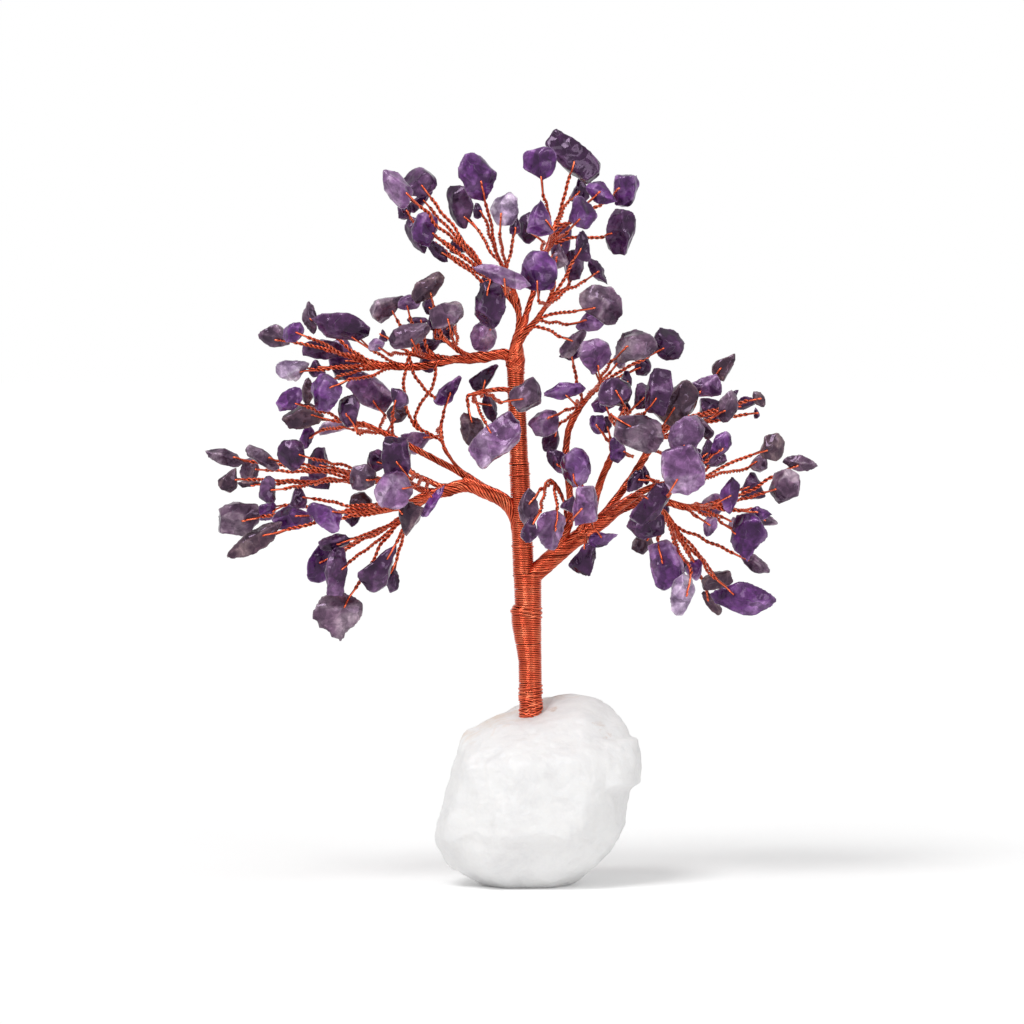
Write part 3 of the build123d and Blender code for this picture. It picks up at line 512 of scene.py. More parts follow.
        (55.4, 9.6, -3, 11.3, 10.6, 0, "drop"),
    ],
    "right_hanging": [
        (30.8, 19.3, -7, 12, 5.7, 43, "slab"),
        (29.8, 13.3, -4, 10, 7.5, 80, "nugget"),
        (33.7, 16, 9, 4.3, 4, 0, "nugget"),
        (28.5, 7.7, 3, 5, 4.5, 20, "slab"),
        (58.3, 2.2, 3, 9.7, 4.7, 126, "leaf"),
        (34.5, 1.7, -3, 11.7, 7.3, -15, "slab"),
        (38, -6.3, -9, 12, 6.5, 8, "drop"),
        (43, 1.3, 4, 5.5, 5, 45, "wedge"),
        (39.5, 1, 7, 3, 2.7, 0, "nugget"),
        (49, -2.5, 7, 8.5, 4, 70, "slab"),
        (54.5, -6.7, -1, 18, 8.7, 95, "leaf"),
        (46.7, -8.3, 8, 7.5, 3.2, -40, "shard"),
    ],
}

# Tone of each chip, in the order of its row
chip_tones = {
    "crown_left": "lilac dark dark dark dark vivid dark dark",
    "crown_centre": "vivid dark pale dark dark lilac dark dark lilac",
    "crown_top": "vivid dark dark vivid vivid vivid dark vivid dark",
    "crown_right": "dark dark grey vivid dark dark grey vivid grey",
    "upper_near": "brown dark grey dark dark",
    "upper_middle": "grey lilac dark grey lilac dark dark dark",
    "upper_far": "grey vivid grey dark dark dark pale dark vivid brown",
    "left_high_far": "vivid brown dark lilac dark brown pale vivid",
    "left_rising": "lilac vivid",
    "left_far": "dark dark grey brown grey brown grey dark dark",
    "left_level": "grey vivid vivid dark brown vivid brown dark brown",
    "left_hanging": "dark vivid dark dark dark dark grey",
    "left_near": "grey dark dark dark lilac vivid",
    "trunk_sprig": "dark dark brown lilac grey",
    "right_inner": "grey dark lilac",
    "right_near": "vivid dark lilac dark vivid dark",
    "right_top": "lilac dark grey dark dark pale lilac dark vivid",
    "right_middle": "dark dark vivid vivid dark dark dark dark grey vivid",
    "right_high": "brown lilac lilac grey dark grey dark brown dark dark brown",
    "right_level": "lilac vivid dark dark dark brown grey dark dark",
    "right_far": "grey grey dark vivid lilac lilac vivid grey pale vivid",
    "right_hanging": "dark dark dark brown grey vivid pale vivid dark brown vivid brown",
}

# Colours that each tone is clouded from: body, depth and bloom
tone_colours = {
    "vivid": ((0.118, 0.032, 0.170), (0.046, 0.009, 0.068), (0.340, 0.195, 0.405)),
    "dark": ((0.050, 0.014, 0.058), (0.017, 0.003, 0.020), (0.175, 0.090, 0.190)),
    "lilac": ((0.228, 0.110, 0.255), (0.094, 0.035, 0.110), (0.465, 0.340, 0.485)),
    "grey": ((0.142, 0.081, 0.130), (0.052, 0.024, 0.048), (0.380, 0.300, 0.350)),
    "brown": ((0.098, 0.053, 0.070), (0.035, 0.016, 0.024), (0.260, 0.185, 0.185)),
    "pale": ((0.410, 0.310, 0.445), (0.178, 0.112, 0.210), (0.740, 0.665, 0.755)),
}

# Iron stain on the rock, in metres: the middle of each rusty spot and how far it reaches
rust_spots = [((0.0050, -0.0010, 0.0485), 0.0110), ((0.0190, -0.0080, 0.0425), 0.0120)]

# Light of the surround on the object, and what the floor adds to itself where it is seen
surround_light = 0.43
floor_lift = 0.17
lamp_distance = 2

# The body that each bough's stones and stems move with
bodies = {
    "crown": "crown",
    "left_upper": "left_upper",
    "left_lower": "left_lower",
    "right": "right",
    "trunk_sprig": "stand",
}


def upper_axis(height, reach=0.0):
    """A point of the upper trunk's axis at a height, or beside it."""
    share = (height - upper_foot.z) / (upper_top.z - upper_foot.z)
    return upper_foot.lerp(upper_top, share) + Vector((reach, 0, 0))


roots = {
    "crown": upper_axis(142.0),
    "left_upper": upper_axis(141.5),
    "left_lower": upper_axis(100.4, -1.3),
    "trunk_sprig": upper_axis(131.5),
    "right": upper_axis(82.9, 3.27),
}

# Where each bough comes out of the trunk, below the first point of its route
bough_tails = {
    "crown": [upper_axis(131.0), upper_axis(137.5), upper_axis(141.5)],
    "left_upper": [upper_axis(131.0), upper_axis(137.0), upper_axis(140.6, -1.4)],
    "left_lower": [upper_axis(88.0, -0.4), upper_axis(95.5, -0.8), upper_axis(99.8, -2.2)],
    "right": [upper_axis(66.0, 0.8), upper_axis(76.0, 0.9), upper_axis(81.4, 1.3)],
    "trunk_sprig": [upper_axis(123.0), upper_axis(128.5, -0.6), upper_axis(131.2, -1.8)],
}


def bough_of(limb):
    """The bough that a limb grows from in the end."""
    parent = limbs[limb][0]
    return limb if parent == "trunk" else bough_of(parent)


def chips_beyond(limb):
    """How many chips a limb carries, with those of the limbs that grow from it."""
    own = len(chips.get(limb, []))
    return own + sum(chips_beyond(name) for name, row in limbs.items() if row[0] == limb)


def bundle_radius(limb):
    """Radius of the bundle of wires, two for each chip."""
    return wire_radius * math.sqrt(2 * chips_beyond(limb) / bundle_fill)


def from_root(bough, across, up, depth):
    """A point read from the root of a bough."""
    return roots[bough] + Vector((across, depth_spread * depth, up))


def held(value):
    """A value kept between nothing and one."""
    return min(max(value, 0), 1)


def as_mesh(shape, name):
    """A shape as a mesh; the shape is let go."""
    mesh = bpy.data.meshes.new(name)
    shape.to_mesh(mesh)
    shape.free()
    return mesh


def as_shape(mesh):
    """A mesh as a shape to edit; the mesh is let go."""
    shape = bmesh.new()
    shape.from_mesh(mesh)
    bpy.data.meshes.remove(mesh)
    return shape


def smoothed(shape, turns, factor):
    """Smooth a shape a number of times."""
    for turn in range(turns):
        bmesh.ops.smooth_vert(
            shape, verts=shape.verts, factor=factor, use_axis_x=True, use_axis_y=True, use_axis_z=True
        )


def shift_points(shape, moves):
    """Move each point of a shape by its own amount."""
    for vert, move in zip(shape.verts, moves):
        vert.co += move


def square_to(direction, axis):
    """The part of a direction that is square to an axis, as a unit vector."""
    return (direction - axis * direction.dot(axis)).normalized()


def smooth_line(route, step):
    """A smooth line through the pull of a few points, with its points about a step apart."""
    curve = bpy.data.curves.new("route", "CURVE")
    curve.dimensions = "3D"
    spline = curve.splines.new("NURBS")
    spline.points.add(len(route) - 1)
    for place, point in zip(route, spline.points):
        point.co = (*place, 1)
    spline.order_u = 3
    spline.use_endpoint_u = True
    spline.resolution_u = 12
    holder = bpy.data.objects.new("route", curve)
    mesh = bpy.data.meshes.new_from_object(holder)
    raw = [vertex.co.copy() for vertex in mesh.vertices]
    bpy.data.objects.remove(holder)
    bpy.data.curves.remove(curve)
    bpy.data.meshes.remove(mesh)
    return even_steps(raw, step)


def even_steps(raw, step):
    """The same line with its points an even step apart."""
    lengths = [0.0]
    for before, after in zip(raw, raw[1:]):
        lengths.append(lengths[-1] + (after - before).length)
    count = max(2, round(lengths[-1] / step))
    line = []
    index = 0
    for number in range(count + 1):
        wanted = lengths[-1] * number / count
        while index < len(raw) - 2 and lengths[index + 1] < wanted:
            index += 1
        span = lengths[index + 1] - lengths[index]
        line.append(raw[index].lerp(raw[index + 1], (wanted - lengths[index]) / span if span else 0))
    return line


def line_length(line):
    """Length of a line."""
    return sum((after - before).length for before, after in zip(line, line[1:]))


def place_on(line, distance):
    """The point and the heading at a distance along an even line."""
    step = line_length(line) / (len(line) - 1)
    index = min(max(distance / step, 0), len(line) - 1.001)
    low = int(index)
    return line[low].lerp(line[low + 1], index - low), (line[low + 1] - line[low]).normalized()


def side_axes(line, last_side):
    """A side direction at every point of a line that doesn't turn about it, set at its end."""
    headings = []
    for index in range(len(line)):
        before = line[max(index - 1, 0)]
        after = line[min(index + 1, len(line) - 1)]
        headings.append((after - before).normalized())
    side = square_to(last_side, headings[-1])
    sides = [side]
    for heading in reversed(headings[:-1]):
        side = square_to(side, heading)
        sides.append(side)
    sides.reverse()
    return headings, sides


def laid_strand(line, axes, radius, pitch, phase):
    """One strand laid round a line and its outward directions; the phase is its angle at the end."""
    headings, sides = axes
    total = line_length(line)
    step = total / (len(line) - 1)
    strand = []
    outwards = []
    for index, place in enumerate(line):
        angle = phase + 2 * math.pi * (index * step - total) / pitch
        away = radius[index] if isinstance(radius, list) else radius
        beside = headings[index].cross(sides[index])
        outward = sides[index] * math.cos(angle) + beside * math.sin(angle)
        strand.append(place + outward * away)
        outwards.append(outward)
    return strand, outwards


def twisted_pair(way, side):
    """Two wires twisted round a way, with their outward directions."""
    axes = side_axes(way, side)
    return [laid_strand(way, axes, shown_wire_radius, twist_pitch, phase) for phase in (0.0, math.pi)]


def placed(name, mesh, material):
    """An object in the scene that shows a mesh in one material."""
    mesh.materials.clear()
    mesh.materials.append(material)
    mesh.shade_smooth()
    piece = bpy.data.objects.new(name, mesh)
    bpy.context.scene.collection.objects.link(piece)
    return piece


def wire_mesh(name, strands, material):
    """One piece of round wires: points in millimetres, radius, outward directions and darkest painted
    shade.
    """
    curve = bpy.data.curves.new(name, "CURVE")
    curve.dimensions = "3D"
    curve.bevel_depth = 1.0
    curve.bevel_resolution = 1
    for points, radius, outwards, darkest in strands:
        spline = curve.splines.new("POLY")
        spline.points.add(len(points) - 1)
        for index, point in enumerate(spline.points):
            point.co = (*(points[index] * MM), 1)
            point.radius = (radius[index] if isinstance(radius, list) else radius) * MM
        spline.points[0].radius = 0
        spline.points[-1].radius = 0
    holder = bpy.data.objects.new(name, curve)
    mesh = bpy.data.meshes.new_from_object(holder)
    bpy.data.objects.remove(holder)
    bpy.data.curves.remove(curve)
    ring = len(mesh.vertices) // sum(len(strand[0]) for strand in strands)
    shade = mesh.attributes.new("shade", "FLOAT", "POINT")
    number = 0
    # Painted shade: each point of a wire is darker the more it faces away from its outward side, so
    # strands, turns and stems show painted shade where they meet and where they lie on a stone
    for points, radius, outwards, darkest in strands:
        for index, place in enumerate(points):
            for corner in range(ring):
                level = plain_shade
                if outwards:
                    away = (mesh.vertices[number].co / MM - place).normalized()
                    level = max((away.dot(outwards[index]) - shade_start) / (1 - shade_start), 0)
                    level = level ** shade_power
                shade.data[number].value = min(max(level, darkest), 1)
                number += 1
    closed = bmesh.new()
    closed.from_mesh(mesh)
    bmesh.ops.remove_doubles(closed, verts=closed.verts, dist=tip_weld)
    closed.to_mesh(mesh)
    closed.free()
    return placed(name, mesh, material)


def rope(line, radii, lay, phase, looseness=tight_lay):
    """A rope of strands laid round a core, along a line whose radius changes."""
    axes = side_axes(line, Vector((0, -1, 0.05)))
    strand_radius = min(max(strand_share * max(radii), least_strand_radius), largest_strand_radius)
    count = max(3, round(2 * math.pi * (max(radii) - strand_radius) / (strand_room * strand_radius)))
    offsets = [max(radius - strand_radius, least_strand_offset) for radius in radii]
    strands = []
    for number in range(count):
        uneven = noise.noise(Vector((number * 1.7, phase, max(radii))))
        angle = phase + 2 * math.pi * (number + strand_unevenness * uneven) / count
        loose = []
        for index, offset in enumerate(offsets):
            stray = noise.noise(Vector((index * 0.05, number * 1.9, phase)))
            loose.append(offset + looseness * stray)
        strand, outwards = laid_strand(line, axes, loose, lay, angle)
        # Painted shade: each strand's shade is made a little deeper or lighter at random
        gleam = noise.noise(Vector((number * 2.3, phase, 4)))
        bright = strand_brightness + brightness_spread * gleam
        outwards = [outward * bright for outward in outwards]
        strands.append((strand, strand_radius, outwards, rope_shade))
    # The core is painted at the darkest shade, so it shows as painted shadow between the strands
    inside = [offset * max(core_share - looseness, least_core_share) for offset in offsets]
    strands.append((line, inside, [Vector((0, 0, 0))] * len(line), rope_shade))
    return strands


class NodeTree:
    """The nodes of a material or of the surround, with short ways to add to them."""

    def __init__(self, owner):
        owner.use_nodes = True
        self.nodes = owner.node_tree.nodes
        self.links = owner.node_tree.links

    def wire(self, node, inputs):
        """Give a node its inputs, by name or number, as plain values or as links."""
        for name, value in inputs.items():
            if isinstance(value, bpy.types.NodeSocket):
                self.links.new(value, node.inputs[name])
            else:
                node.inputs[name].default_value = value
        return node.outputs

    def math(self, operation, first, second):
        """An operation on two values."""
        node = self.nodes.new("ShaderNodeMath")
        node.operation = operation
        return self.wire(node, {0: first, 1: second})["Value"]

    def level(self, value, low, high, first, last):
        """A value brought from one range to another and held there."""
        node = self.nodes.new("ShaderNodeMapRange")
        ends = {"From Min": low, "From Max": high, "To Min": first, "To Max": last}
        return self.wire(node, {"Value": value, **ends})["Result"]

    def seen(self):
        """One for rays from the camera, in reflections and through clear things; nothing for others."""
        rays = self.nodes.new("ShaderNodeLightPath").outputs
        either = self.math("MAXIMUM", rays["Is Camera Ray"], rays["Is Glossy Ray"])
        return self.math("MAXIMUM", either, rays["Is Transmission Ray"])


class Finish(NodeTree):
    """A procedural material on the object's own coordinates."""

    def __init__(self, name):
        self.material = bpy.data.materials.new(name)
        super().__init__(self.material)
        self.place = self.nodes.new("ShaderNodeTexCoord").outputs["Object"]

    def noise(self, scale, detail, roughness=0.5, distortion=0.0, output="Fac"):
        """A cloudy texture."""
        node = self.nodes.new("ShaderNodeTexNoise")
        return self.wire(node, {
            "Vector": self.place, "Scale": scale, "Detail": detail,
            "Roughness": roughness, "Distortion": distortion,
        })[output]

    def cells(self, scale, place, output):
        """A texture of cells."""
        node = self.nodes.new("ShaderNodeTexVoronoi")
        return self.wire(node, {"Vector": place, "Scale": scale})[output]

    def attribute(self, name, output):
        """What is stored on the mesh under a name."""
        node = self.nodes.new("ShaderNodeAttribute")
        node.attribute_name = name
        return node.outputs[output]

    def ramp(self, source, *stops):
        """A colour ramp on a value; a stop is a position and a colour or a level of grey."""
        node = self.nodes.new("ShaderNodeValToRGB")
        steps = node.color_ramp.elements
        steps[0].position = stops[0][0]
        steps[1].position = stops[-1][0]
        for position, colour in stops[1:-1]:
            steps.new(position)
        for step, (position, colour) in zip(steps, stops):
            step.color = (*colour, 1) if isinstance(colour, tuple) else (colour, colour, colour, 1)
        return self.wire(node, {"Fac": source})["Color"]

    def mix(self, first, second, factor=1.0, blend="MIX", kind="RGBA"):
        """Two colours or two places mixed."""
        node = self.nodes.new("ShaderNodeMix")
        node.data_type = kind
        node.blend_type = blend
        return self.wire(node, {"A": first, "B": second, "Factor": factor})["Result"]

    def bump(self, height, strength, distance, below=None):
        """A bump, on top of another one if there is one."""
        inputs = {"Height": height, "Strength": strength, "Distance": distance}
        if below:
            inputs["Normal"] = below
        return self.wire(self.nodes.new("ShaderNodeBump"), inputs)["Normal"]

    def shaded(self, inputs):
        """The material, with these inputs to its surface."""
        self.wire(self.nodes["Principled BSDF"], inputs)
        return self.material


def copper_finish():
    """Bright soft copper wire, a little uneven, with painted shade where strands meet."""
    wire = Finish("copper_wire")
    tarnish = wire.ramp(
        wire.noise(380, 5, 0.65),
        (0.28, (0.60, 0.078, 0.036)), (0.50, (0.87, 0.150, 0.066)), (0.72, (0.99, 0.285, 0.145)),
    )
    # Painted shade: the colour is darkened where the mesh's shade attribute is low, on the sides of
    # wires that face their neighbours
    deep = wire.ramp(
        wire.attribute("shade", "Fac"),
        (0.12, (0.13, 0.04, 0.028)), (0.50, (0.70, 0.58, 0.54)), (0.92, 1.0),
    )
    wear = wire.noise(900, 3)
    return wire.shaded({
        "Base Color": wire.mix(tarnish, deep, blend="MULTIPLY"),
        "Metallic": 0.85,
        "Roughness": wire.ramp(wear, (0.3, 0.15), (0.7, 0.27)),
        "Normal": wire.bump(wear, 0.12, 0.0001),
    })


def amethyst_finish():
    """Tumbled amethyst: clouded tone, pale healed cracks, small pits and a wet gloss."""
    stone = Finish("amethyst")
    shade = stone.ramp(
        stone.noise(430, 6, 0.65, 0.6),
        (0.34, (0.45, 0.40, 0.45)), (0.52, 1.0), (0.68, (1.75, 1.75, 1.7)),
    )
    # The tone attribute brings the chips' own colour with painted glints, rim glow, ridge highlights
    # and crease shade
    clouded = stone.mix(stone.attribute("tone", "Color"), shade, blend="MULTIPLY")
    bent = stone.mix(stone.place, stone.noise(260, 2, output="Color"), 0.004, kind="VECTOR")
    flaw = stone.ramp(
        stone.cells(300, bent, "Color"),
        (0.20, (0.52, 0.50, 0.52)), (0.50, 0.95), (0.80, (1.45, 1.42, 1.45)),
    )
    flawed = stone.mix(clouded, flaw, 0.75, "MULTIPLY")
    crack = stone.ramp(stone.noise(150, 2, 0.5, 0.6), (0.490, 0), (0.5, 0.20), (0.510, 0))
    where = stone.ramp(stone.noise(260, 2), (0.5, 0), (0.62, 1))
    healed = stone.math("MULTIPLY", crack, where)
    waves = stone.bump(stone.noise(300, 3), 0.22, 0.0005)
    return stone.shaded({
        "Base Color": stone.mix(flawed, (0.55, 0.50, 0.62, 1), healed),
        "Roughness": stone.ramp(stone.noise(500, 4), (0.35, 0.07), (0.7, 0.22)),
        "IOR": 1.54,
        "Specular IOR Level": 0.46,
        "Specular Tint": (0.80, 0.58, 0.86, 1),
        "Normal": stone.bump(stone.noise(1300, 4, 0.6), 0.08, 0.0002, waves),
    })


def quartz_finish():
    """Milky broken quartz: white, with grey veils and iron stain near the top."""
    rock = Finish("milky_quartz")
    colour = rock.ramp(
        rock.noise(95, 10, 0.74, 0.4),
        (0.30, (0.79, 0.785, 0.79)), (0.46, (0.87, 0.865, 0.865)), (0.62, (0.91, 0.905, 0.90)),
    )
    patches = rock.noise(150, 6, 0.65, 0.6)
    split = rock.wire(rock.nodes.new("ShaderNodeSeparateXYZ"), {"Vector": rock.place})
    height = rock.math("ADD", rock.math("MULTIPLY", split["X"], -0.40), split["Z"])
    ridge = rock.math("ADD", patches, rock.level(height, 0.039, 0.050, -0.35, 0.08))
    colour = rock.mix(colour, (0.80, 0.69, 0.60, 1), rock.ramp(ridge, (0.42, 0), (0.66, 0.85)))
    for spot, reach in rust_spots:
        away = rock.nodes.new("ShaderNodeVectorMath")
        away.operation = "DISTANCE"
        distance = rock.wire(away, {0: rock.place, 1: spot})["Value"]
        near = rock.math("ADD", patches, rock.level(distance, 0, reach, 0.22, -0.6))
        colour = rock.mix(colour, (0.56, 0.36, 0.24, 1), rock.ramp(near, (0.52, 0), (0.68, 0.8)))
    grain = rock.noise(420, 6, 0.6)
    broken = rock.bump(rock.cells(260, rock.place, "Distance"), 0.35, 0.0009)
    return rock.shaded({
        "Base Color": colour,
        "Roughness": rock.ramp(grain, (0.3, 0.38), (0.7, 0.62)),
        "IOR": 1.54,
        "Subsurface Weight": 0.55,
        "Subsurface Radius": (0.007, 0.0068, 0.0066),
        "Subsurface Scale": 1.0,
        "Normal": rock.bump(grain, 0.5, 0.0007, broken),
    })


copper = copper_finish()
amethyst = amethyst_finish()
quartz = quartz_finish()


def remeshed(shape, voxel):
    """The same closed shape in even small faces."""
    mesh = as_mesh(shape, "rough")
    holder = bpy.data.objects.new("rough", mesh)
    bpy.context.scene.collection.objects.link(holder)
    even = holder.modifiers.new("even", "REMESH")
    even.mode = "VOXEL"
    even.voxel_size = voxel
    finished = holder.evaluated_get(bpy.context.evaluated_depsgraph_get())
    fine = bpy.data.meshes.new_from_object(finished)
    bpy.data.objects.remove(holder)
    bpy.data.meshes.remove(mesh)
    return as_shape(fine)


def chip_plane(bough, row, order):
    """Where a chip lies: its centre, and the directions along it, across it and out of its face."""
    lean = math.radians(row[5])
    long_axis = Vector((math.sin(lean), 0, math.cos(lean)))
    turn = Matrix.Rotation(math.radians(chip_turns[order % len(chip_turns)]), 3, long_axis)
    facing = turn @ Vector((0, -1, 0))
    return from_root(bough, *row[:3]), long_axis, facing.cross(long_axis), facing


def chip_thickness(row):
    """Thickness of a chip from its width."""
    return min(largest_thickness, max(least_thickness, thickness_share * row[4]))


def tumbled_chip(bough, row, order, tone, seed, swell):
    """One chip: its corners wrapped, chipped by flat faces, rounded by tumbling and clouded in its own
    tone, with painted glints, rim glow, ridge highlights and crease shade.
    """
    centre, along, across, facing = chip_plane(bough, row, order)
    length, width, kind = row[3], row[4], row[6]
    thickness = chip_thickness(row)
    mirrored = -1 if order % 2 else 1
    chance = random.Random(seed)
    shape = bmesh.new()
    for x, y, z in chip_corners[kind]:
        corner = along * (x * length / 2)
        corner += across * (y * mirrored * width / 2) + facing * (z * mirrored * thickness / 2)
        shape.verts.new(corner * swell)
    bmesh.ops.convex_hull(shape, input=shape.verts)
    for cut in range(chip_cuts):
        lengthwise = chance.gauss(0, 1) / length
        sideways = chance.gauss(0, 1) / width
        outward = chance.gauss(0, cut_flatness) / thickness
        face = (along * lengthwise + across * sideways + facing * outward).normalized()
        reach = max(face.dot(vert.co) for vert in shape.verts) * chance.uniform(*cut_reach)
        everything = shape.verts[:] + shape.edges[:] + shape.faces[:]
        bmesh.ops.bisect_plane(
            shape, geom=everything, plane_co=face * reach, plane_no=face, clear_outer=True
        )
        bmesh.ops.convex_hull(shape, input=shape.verts)
    voxel = max(least_chip_voxel, width / chip_voxels_across)
    shape = remeshed(shape, voxel)
    smoothed(shape, chip_wear, chip_softness)
    shape.normal_update()
    body, depth, bloom = (Vector(colour) for colour in tone_colours[tone])
    # The tone layer holds the chip's own colour mixed with painted light
    layer = shape.verts.layers.float_color.new("tone")
    offset = Vector((seed * 7.3, seed * 3.1, seed * 5.7))
    fade = Vector((noise.noise(offset), noise.noise(offset.zxy), noise.noise(offset.yzx))).normalized()
    moves = []
    for vert in shape.verts:
        lump = noise.noise(vert.co * (1.7 / width) + offset)
        dent = noise.noise(vert.co * (4.2 / width) + offset.yzx)
        ridge = abs(noise.noise(vert.co * (2.6 / width) + offset.zxy))
        height = lump_height * lump + dent_height * dent - ridge_depth * ridge
        moves.append(vert.normal * (width * height))
        cloud = noise.fractal(vert.co * (1.9 / width) + offset, 1.0, 2.0, 3)
        side = fade.dot(vert.co) / (length / 2)
        # Painted glint: a facet is lighter or darker by the way it faces
        glint = noise.noise(vert.normal * 2.1 + offset.yzx)
        # Painted glow at the thin rim, as of light through the stone
        edge = math.hypot(along.dot(vert.co) / (length / 2), across.dot(vert.co) / (width / 2))
        # Painted highlight on ridges and painted shade in creases, from how far a point stands out from
        # its neighbours
        beside = [link.other_vert(vert).co for link in vert.link_edges]
        around = sum(beside, Vector()) / len(beside)
        ridge_highlight_crease_shade = (vert.co - around).dot(vert.normal) / voxel
        ridge_highlight_crease_shade = min(max(ridge_highlight_crease_shade, ridge_highlight_crease_shade_range[0]), ridge_highlight_crease_shade_range[1])
        light = plain_light + cloud_light * cloud + side_light * side + glint_light * glint
        light += edge_light * max(edge - edge_start, 0) + ridge_highlight_crease_shade_gain * ridge_highlight_crease_shade
        if light < body_light:
            colour = depth.lerp(body, max(light, 0) / body_light)
        else:
            colour = body.lerp(bloom, min((light - body_light) * bloom_gain, 1))
        vert[layer] = (*colour, 1)
    shift_points(shape, moves)
    bmesh.ops.translate(shape, verts=shape.verts, vec=centre)
    return shape


def eye_of_wire(shape, row, plane, lead):
    """The way of the wire round a chip's rim and through it, hugging the stone, and the eye's foot."""
    centre, along, across, facing = plane
    length, width = row[3], row[4]
    thickness = chip_thickness(row)
    towards = square_to(centre - lead, facing)
    lengthwise = towards.dot(along)
    sideways = towards.dot(across)
    rim = 1 / math.hypot(lengthwise / (length / 2), sideways / (width / 2))
    end_edge = length / 2 / max(abs(lengthwise), least_part)
    side_edge = width / 2 / max(abs(sideways), least_part)
    hole = centre - towards * rim * hole_inset
    foot = centre - towards * (min(end_edge, side_edge, rim * eye_margin) + eye_rim)
    skin = BVHTree.FromBMesh(shape)

    def on_face(place, side):
        hit = skin.ray_cast(place + facing * side * 2 * thickness, facing * -side)[0]
        return hit + facing * side * shown_wire_radius * eye_lift if hit else None

    halves = []
    for side in (1, -1):
        spread = facing * side * wire_radius
        way = [foot + spread, foot.lerp(hole, eye_start) + spread * eye_spread]
        for share in eye_shares:
            place = on_face(foot.lerp(hole, share), side)
            if place:
                way.append(place)
        way.append(hole + facing * side * thickness * hole_depth)
        halves.append(way)
    return foot, towards, halves


def lower_axis(height):
    """A point of the lower trunk's axis at a height."""
    return lower_foot.lerp(lower_top, (height - lower_foot.z) / (lower_top.z - lower_foot.z))


# Rock
def right_ledge(place):
    """How far the broken ledge on the right stands out, and the hollow under it goes in."""
    side = held((place.x - ledge_start) / ledge_fade)
    out = held((place.z - ledge_foot) / ledge_lip) * held((ledge_top - place.z) / ledge_lip)
    under = held(ledge_foot - place.z) * held((place.z - hollow_foot) / hollow_fade)
    flared = ledge_relief + ledge_flare * abs(place.z - ledge_waist)
    return side * (flared * out - ledge_relief * under)


def broken_rock():
    """The quartz rock: the CAD solid's outer hull, broken into shallow shell-shaped faces."""
    shape = bmesh.new()
    shape.from_mesh(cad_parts["quartz_base"].data)
    bmesh.ops.remove_doubles(shape, verts=shape.verts, dist=rock_weld)
    hull = bmesh.ops.convex_hull(shape, input=shape.verts)
    inside = [item for item in hull["geom_interior"] if isinstance(item, bmesh.types.BMVert)]
    bmesh.ops.delete(shape, geom=inside, context="VERTS")
    loose = [vert for vert in shape.verts if not vert.link_faces]
    bmesh.ops.delete(shape, geom=loose, context="VERTS")
    shape = remeshed(shape, rock_voxel * MM)
    smoothed(shape, rock_wear, rock_softness)
    shape.normal_update()
    moves = []
    for vert in shape.verts:
        place = vert.co / MM
        broad = noise.noise(place / rock_lump)
        fine = noise.fractal(place / rock_grain, 0.9, 2.0, 4)
        cell = noise.voronoi(place / rock_lump)[1][0] * rock_lump
        tilt = noise.noise_vector(cell + Vector((3, 7, 1))).normalized()
        facet = tilt.dot(place - cell)
        height = rock_lump_height * broad + rock_grain_height * fine + rock_facet_tilt * facet
        height += right_ledge(place)
        beside_trunk = (place - lower_axis(place.z)).length
        calm = held((beside_trunk - socket_rim) / socket_fade)
        flat = held((place.z - foot_rim) / foot_fade)
        moves.append(vert.normal * (height * flat * calm * MM))
    shift_points(shape, moves)
    smoothed(shape, 1, rock_softness)
    for vert in shape.verts:
        vert.co.z = max(vert.co.z, 0)
    rock = placed("quartz_rock", as_mesh(shape, "quartz_rock"), quartz)
    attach(rock, "stand")
    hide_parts("quartz_base")


broken_rock()


# Trunk wrapping
def knot_bulge(height, outward):
    """How far the wire ends buried under the winding push it out to the left at a height."""
    left = max(-outward.x, 0) ** knot_roundness
    if height > upper_foot.z:
        return 0.0
    if height > knot_top:
        rise = max(1 - (height - knot_top) / knot_shoulder, knot_left_above)
    else:
        rise = held(1 - (knot_foot - height) / knot_fade)
    return knot_swell * left * rise


def open_turn_slip(height):
    """How far a turn is pushed up or down the trunk by the gaps that were left in the winding."""
    slip = 0.0
    for gap in open_turns:
        away = height - gap
        slip += math.copysign(open_turn_push * math.exp(-abs(away) / open_turn_reach), away)
    return slip


def wound_turns(foot, top, foot_radius, top_radius, seed):
    """Close turns of wire up a bundle, a little uneven, and their outward directions."""
    axis = (top - foot).normalized()
    side = square_to(Vector((1, 0, 0)), axis)
    beside = axis.cross(side)
    turns = (top - foot).length / wrap_pitch
    points = []
    outwards = []
    steps = round(turns * turn_points)
    for step in range(steps + 1):
        share = step / steps
        angle = 2 * math.pi * turns * share
        wobble = turn_wobble * noise.noise(Vector((share * turns * 0.35, seed, 0)))
        rib = Vector((math.cos(angle) * 1.6, math.sin(angle) * 1.6, share * turns * 0.04 + seed))
        ribbed = turn_ribs * noise.noise(rib)
        slip = turn_slip * noise.noise(Vector((share * turns * 0.5, seed, 5)))
        radius = foot_radius + (top_radius - foot_radius) * share + wrap_clearance + wrap_wire_radius
        outward = side * math.cos(angle) + beside * math.sin(angle)
        place = foot.lerp(top, share)
        place += axis * (slip + open_turn_slip(place.z))
        points.append(place + outward * (radius + wobble + ribbed + knot_bulge(place.z, outward)))
        outwards.append(outward)
    return points, outwards


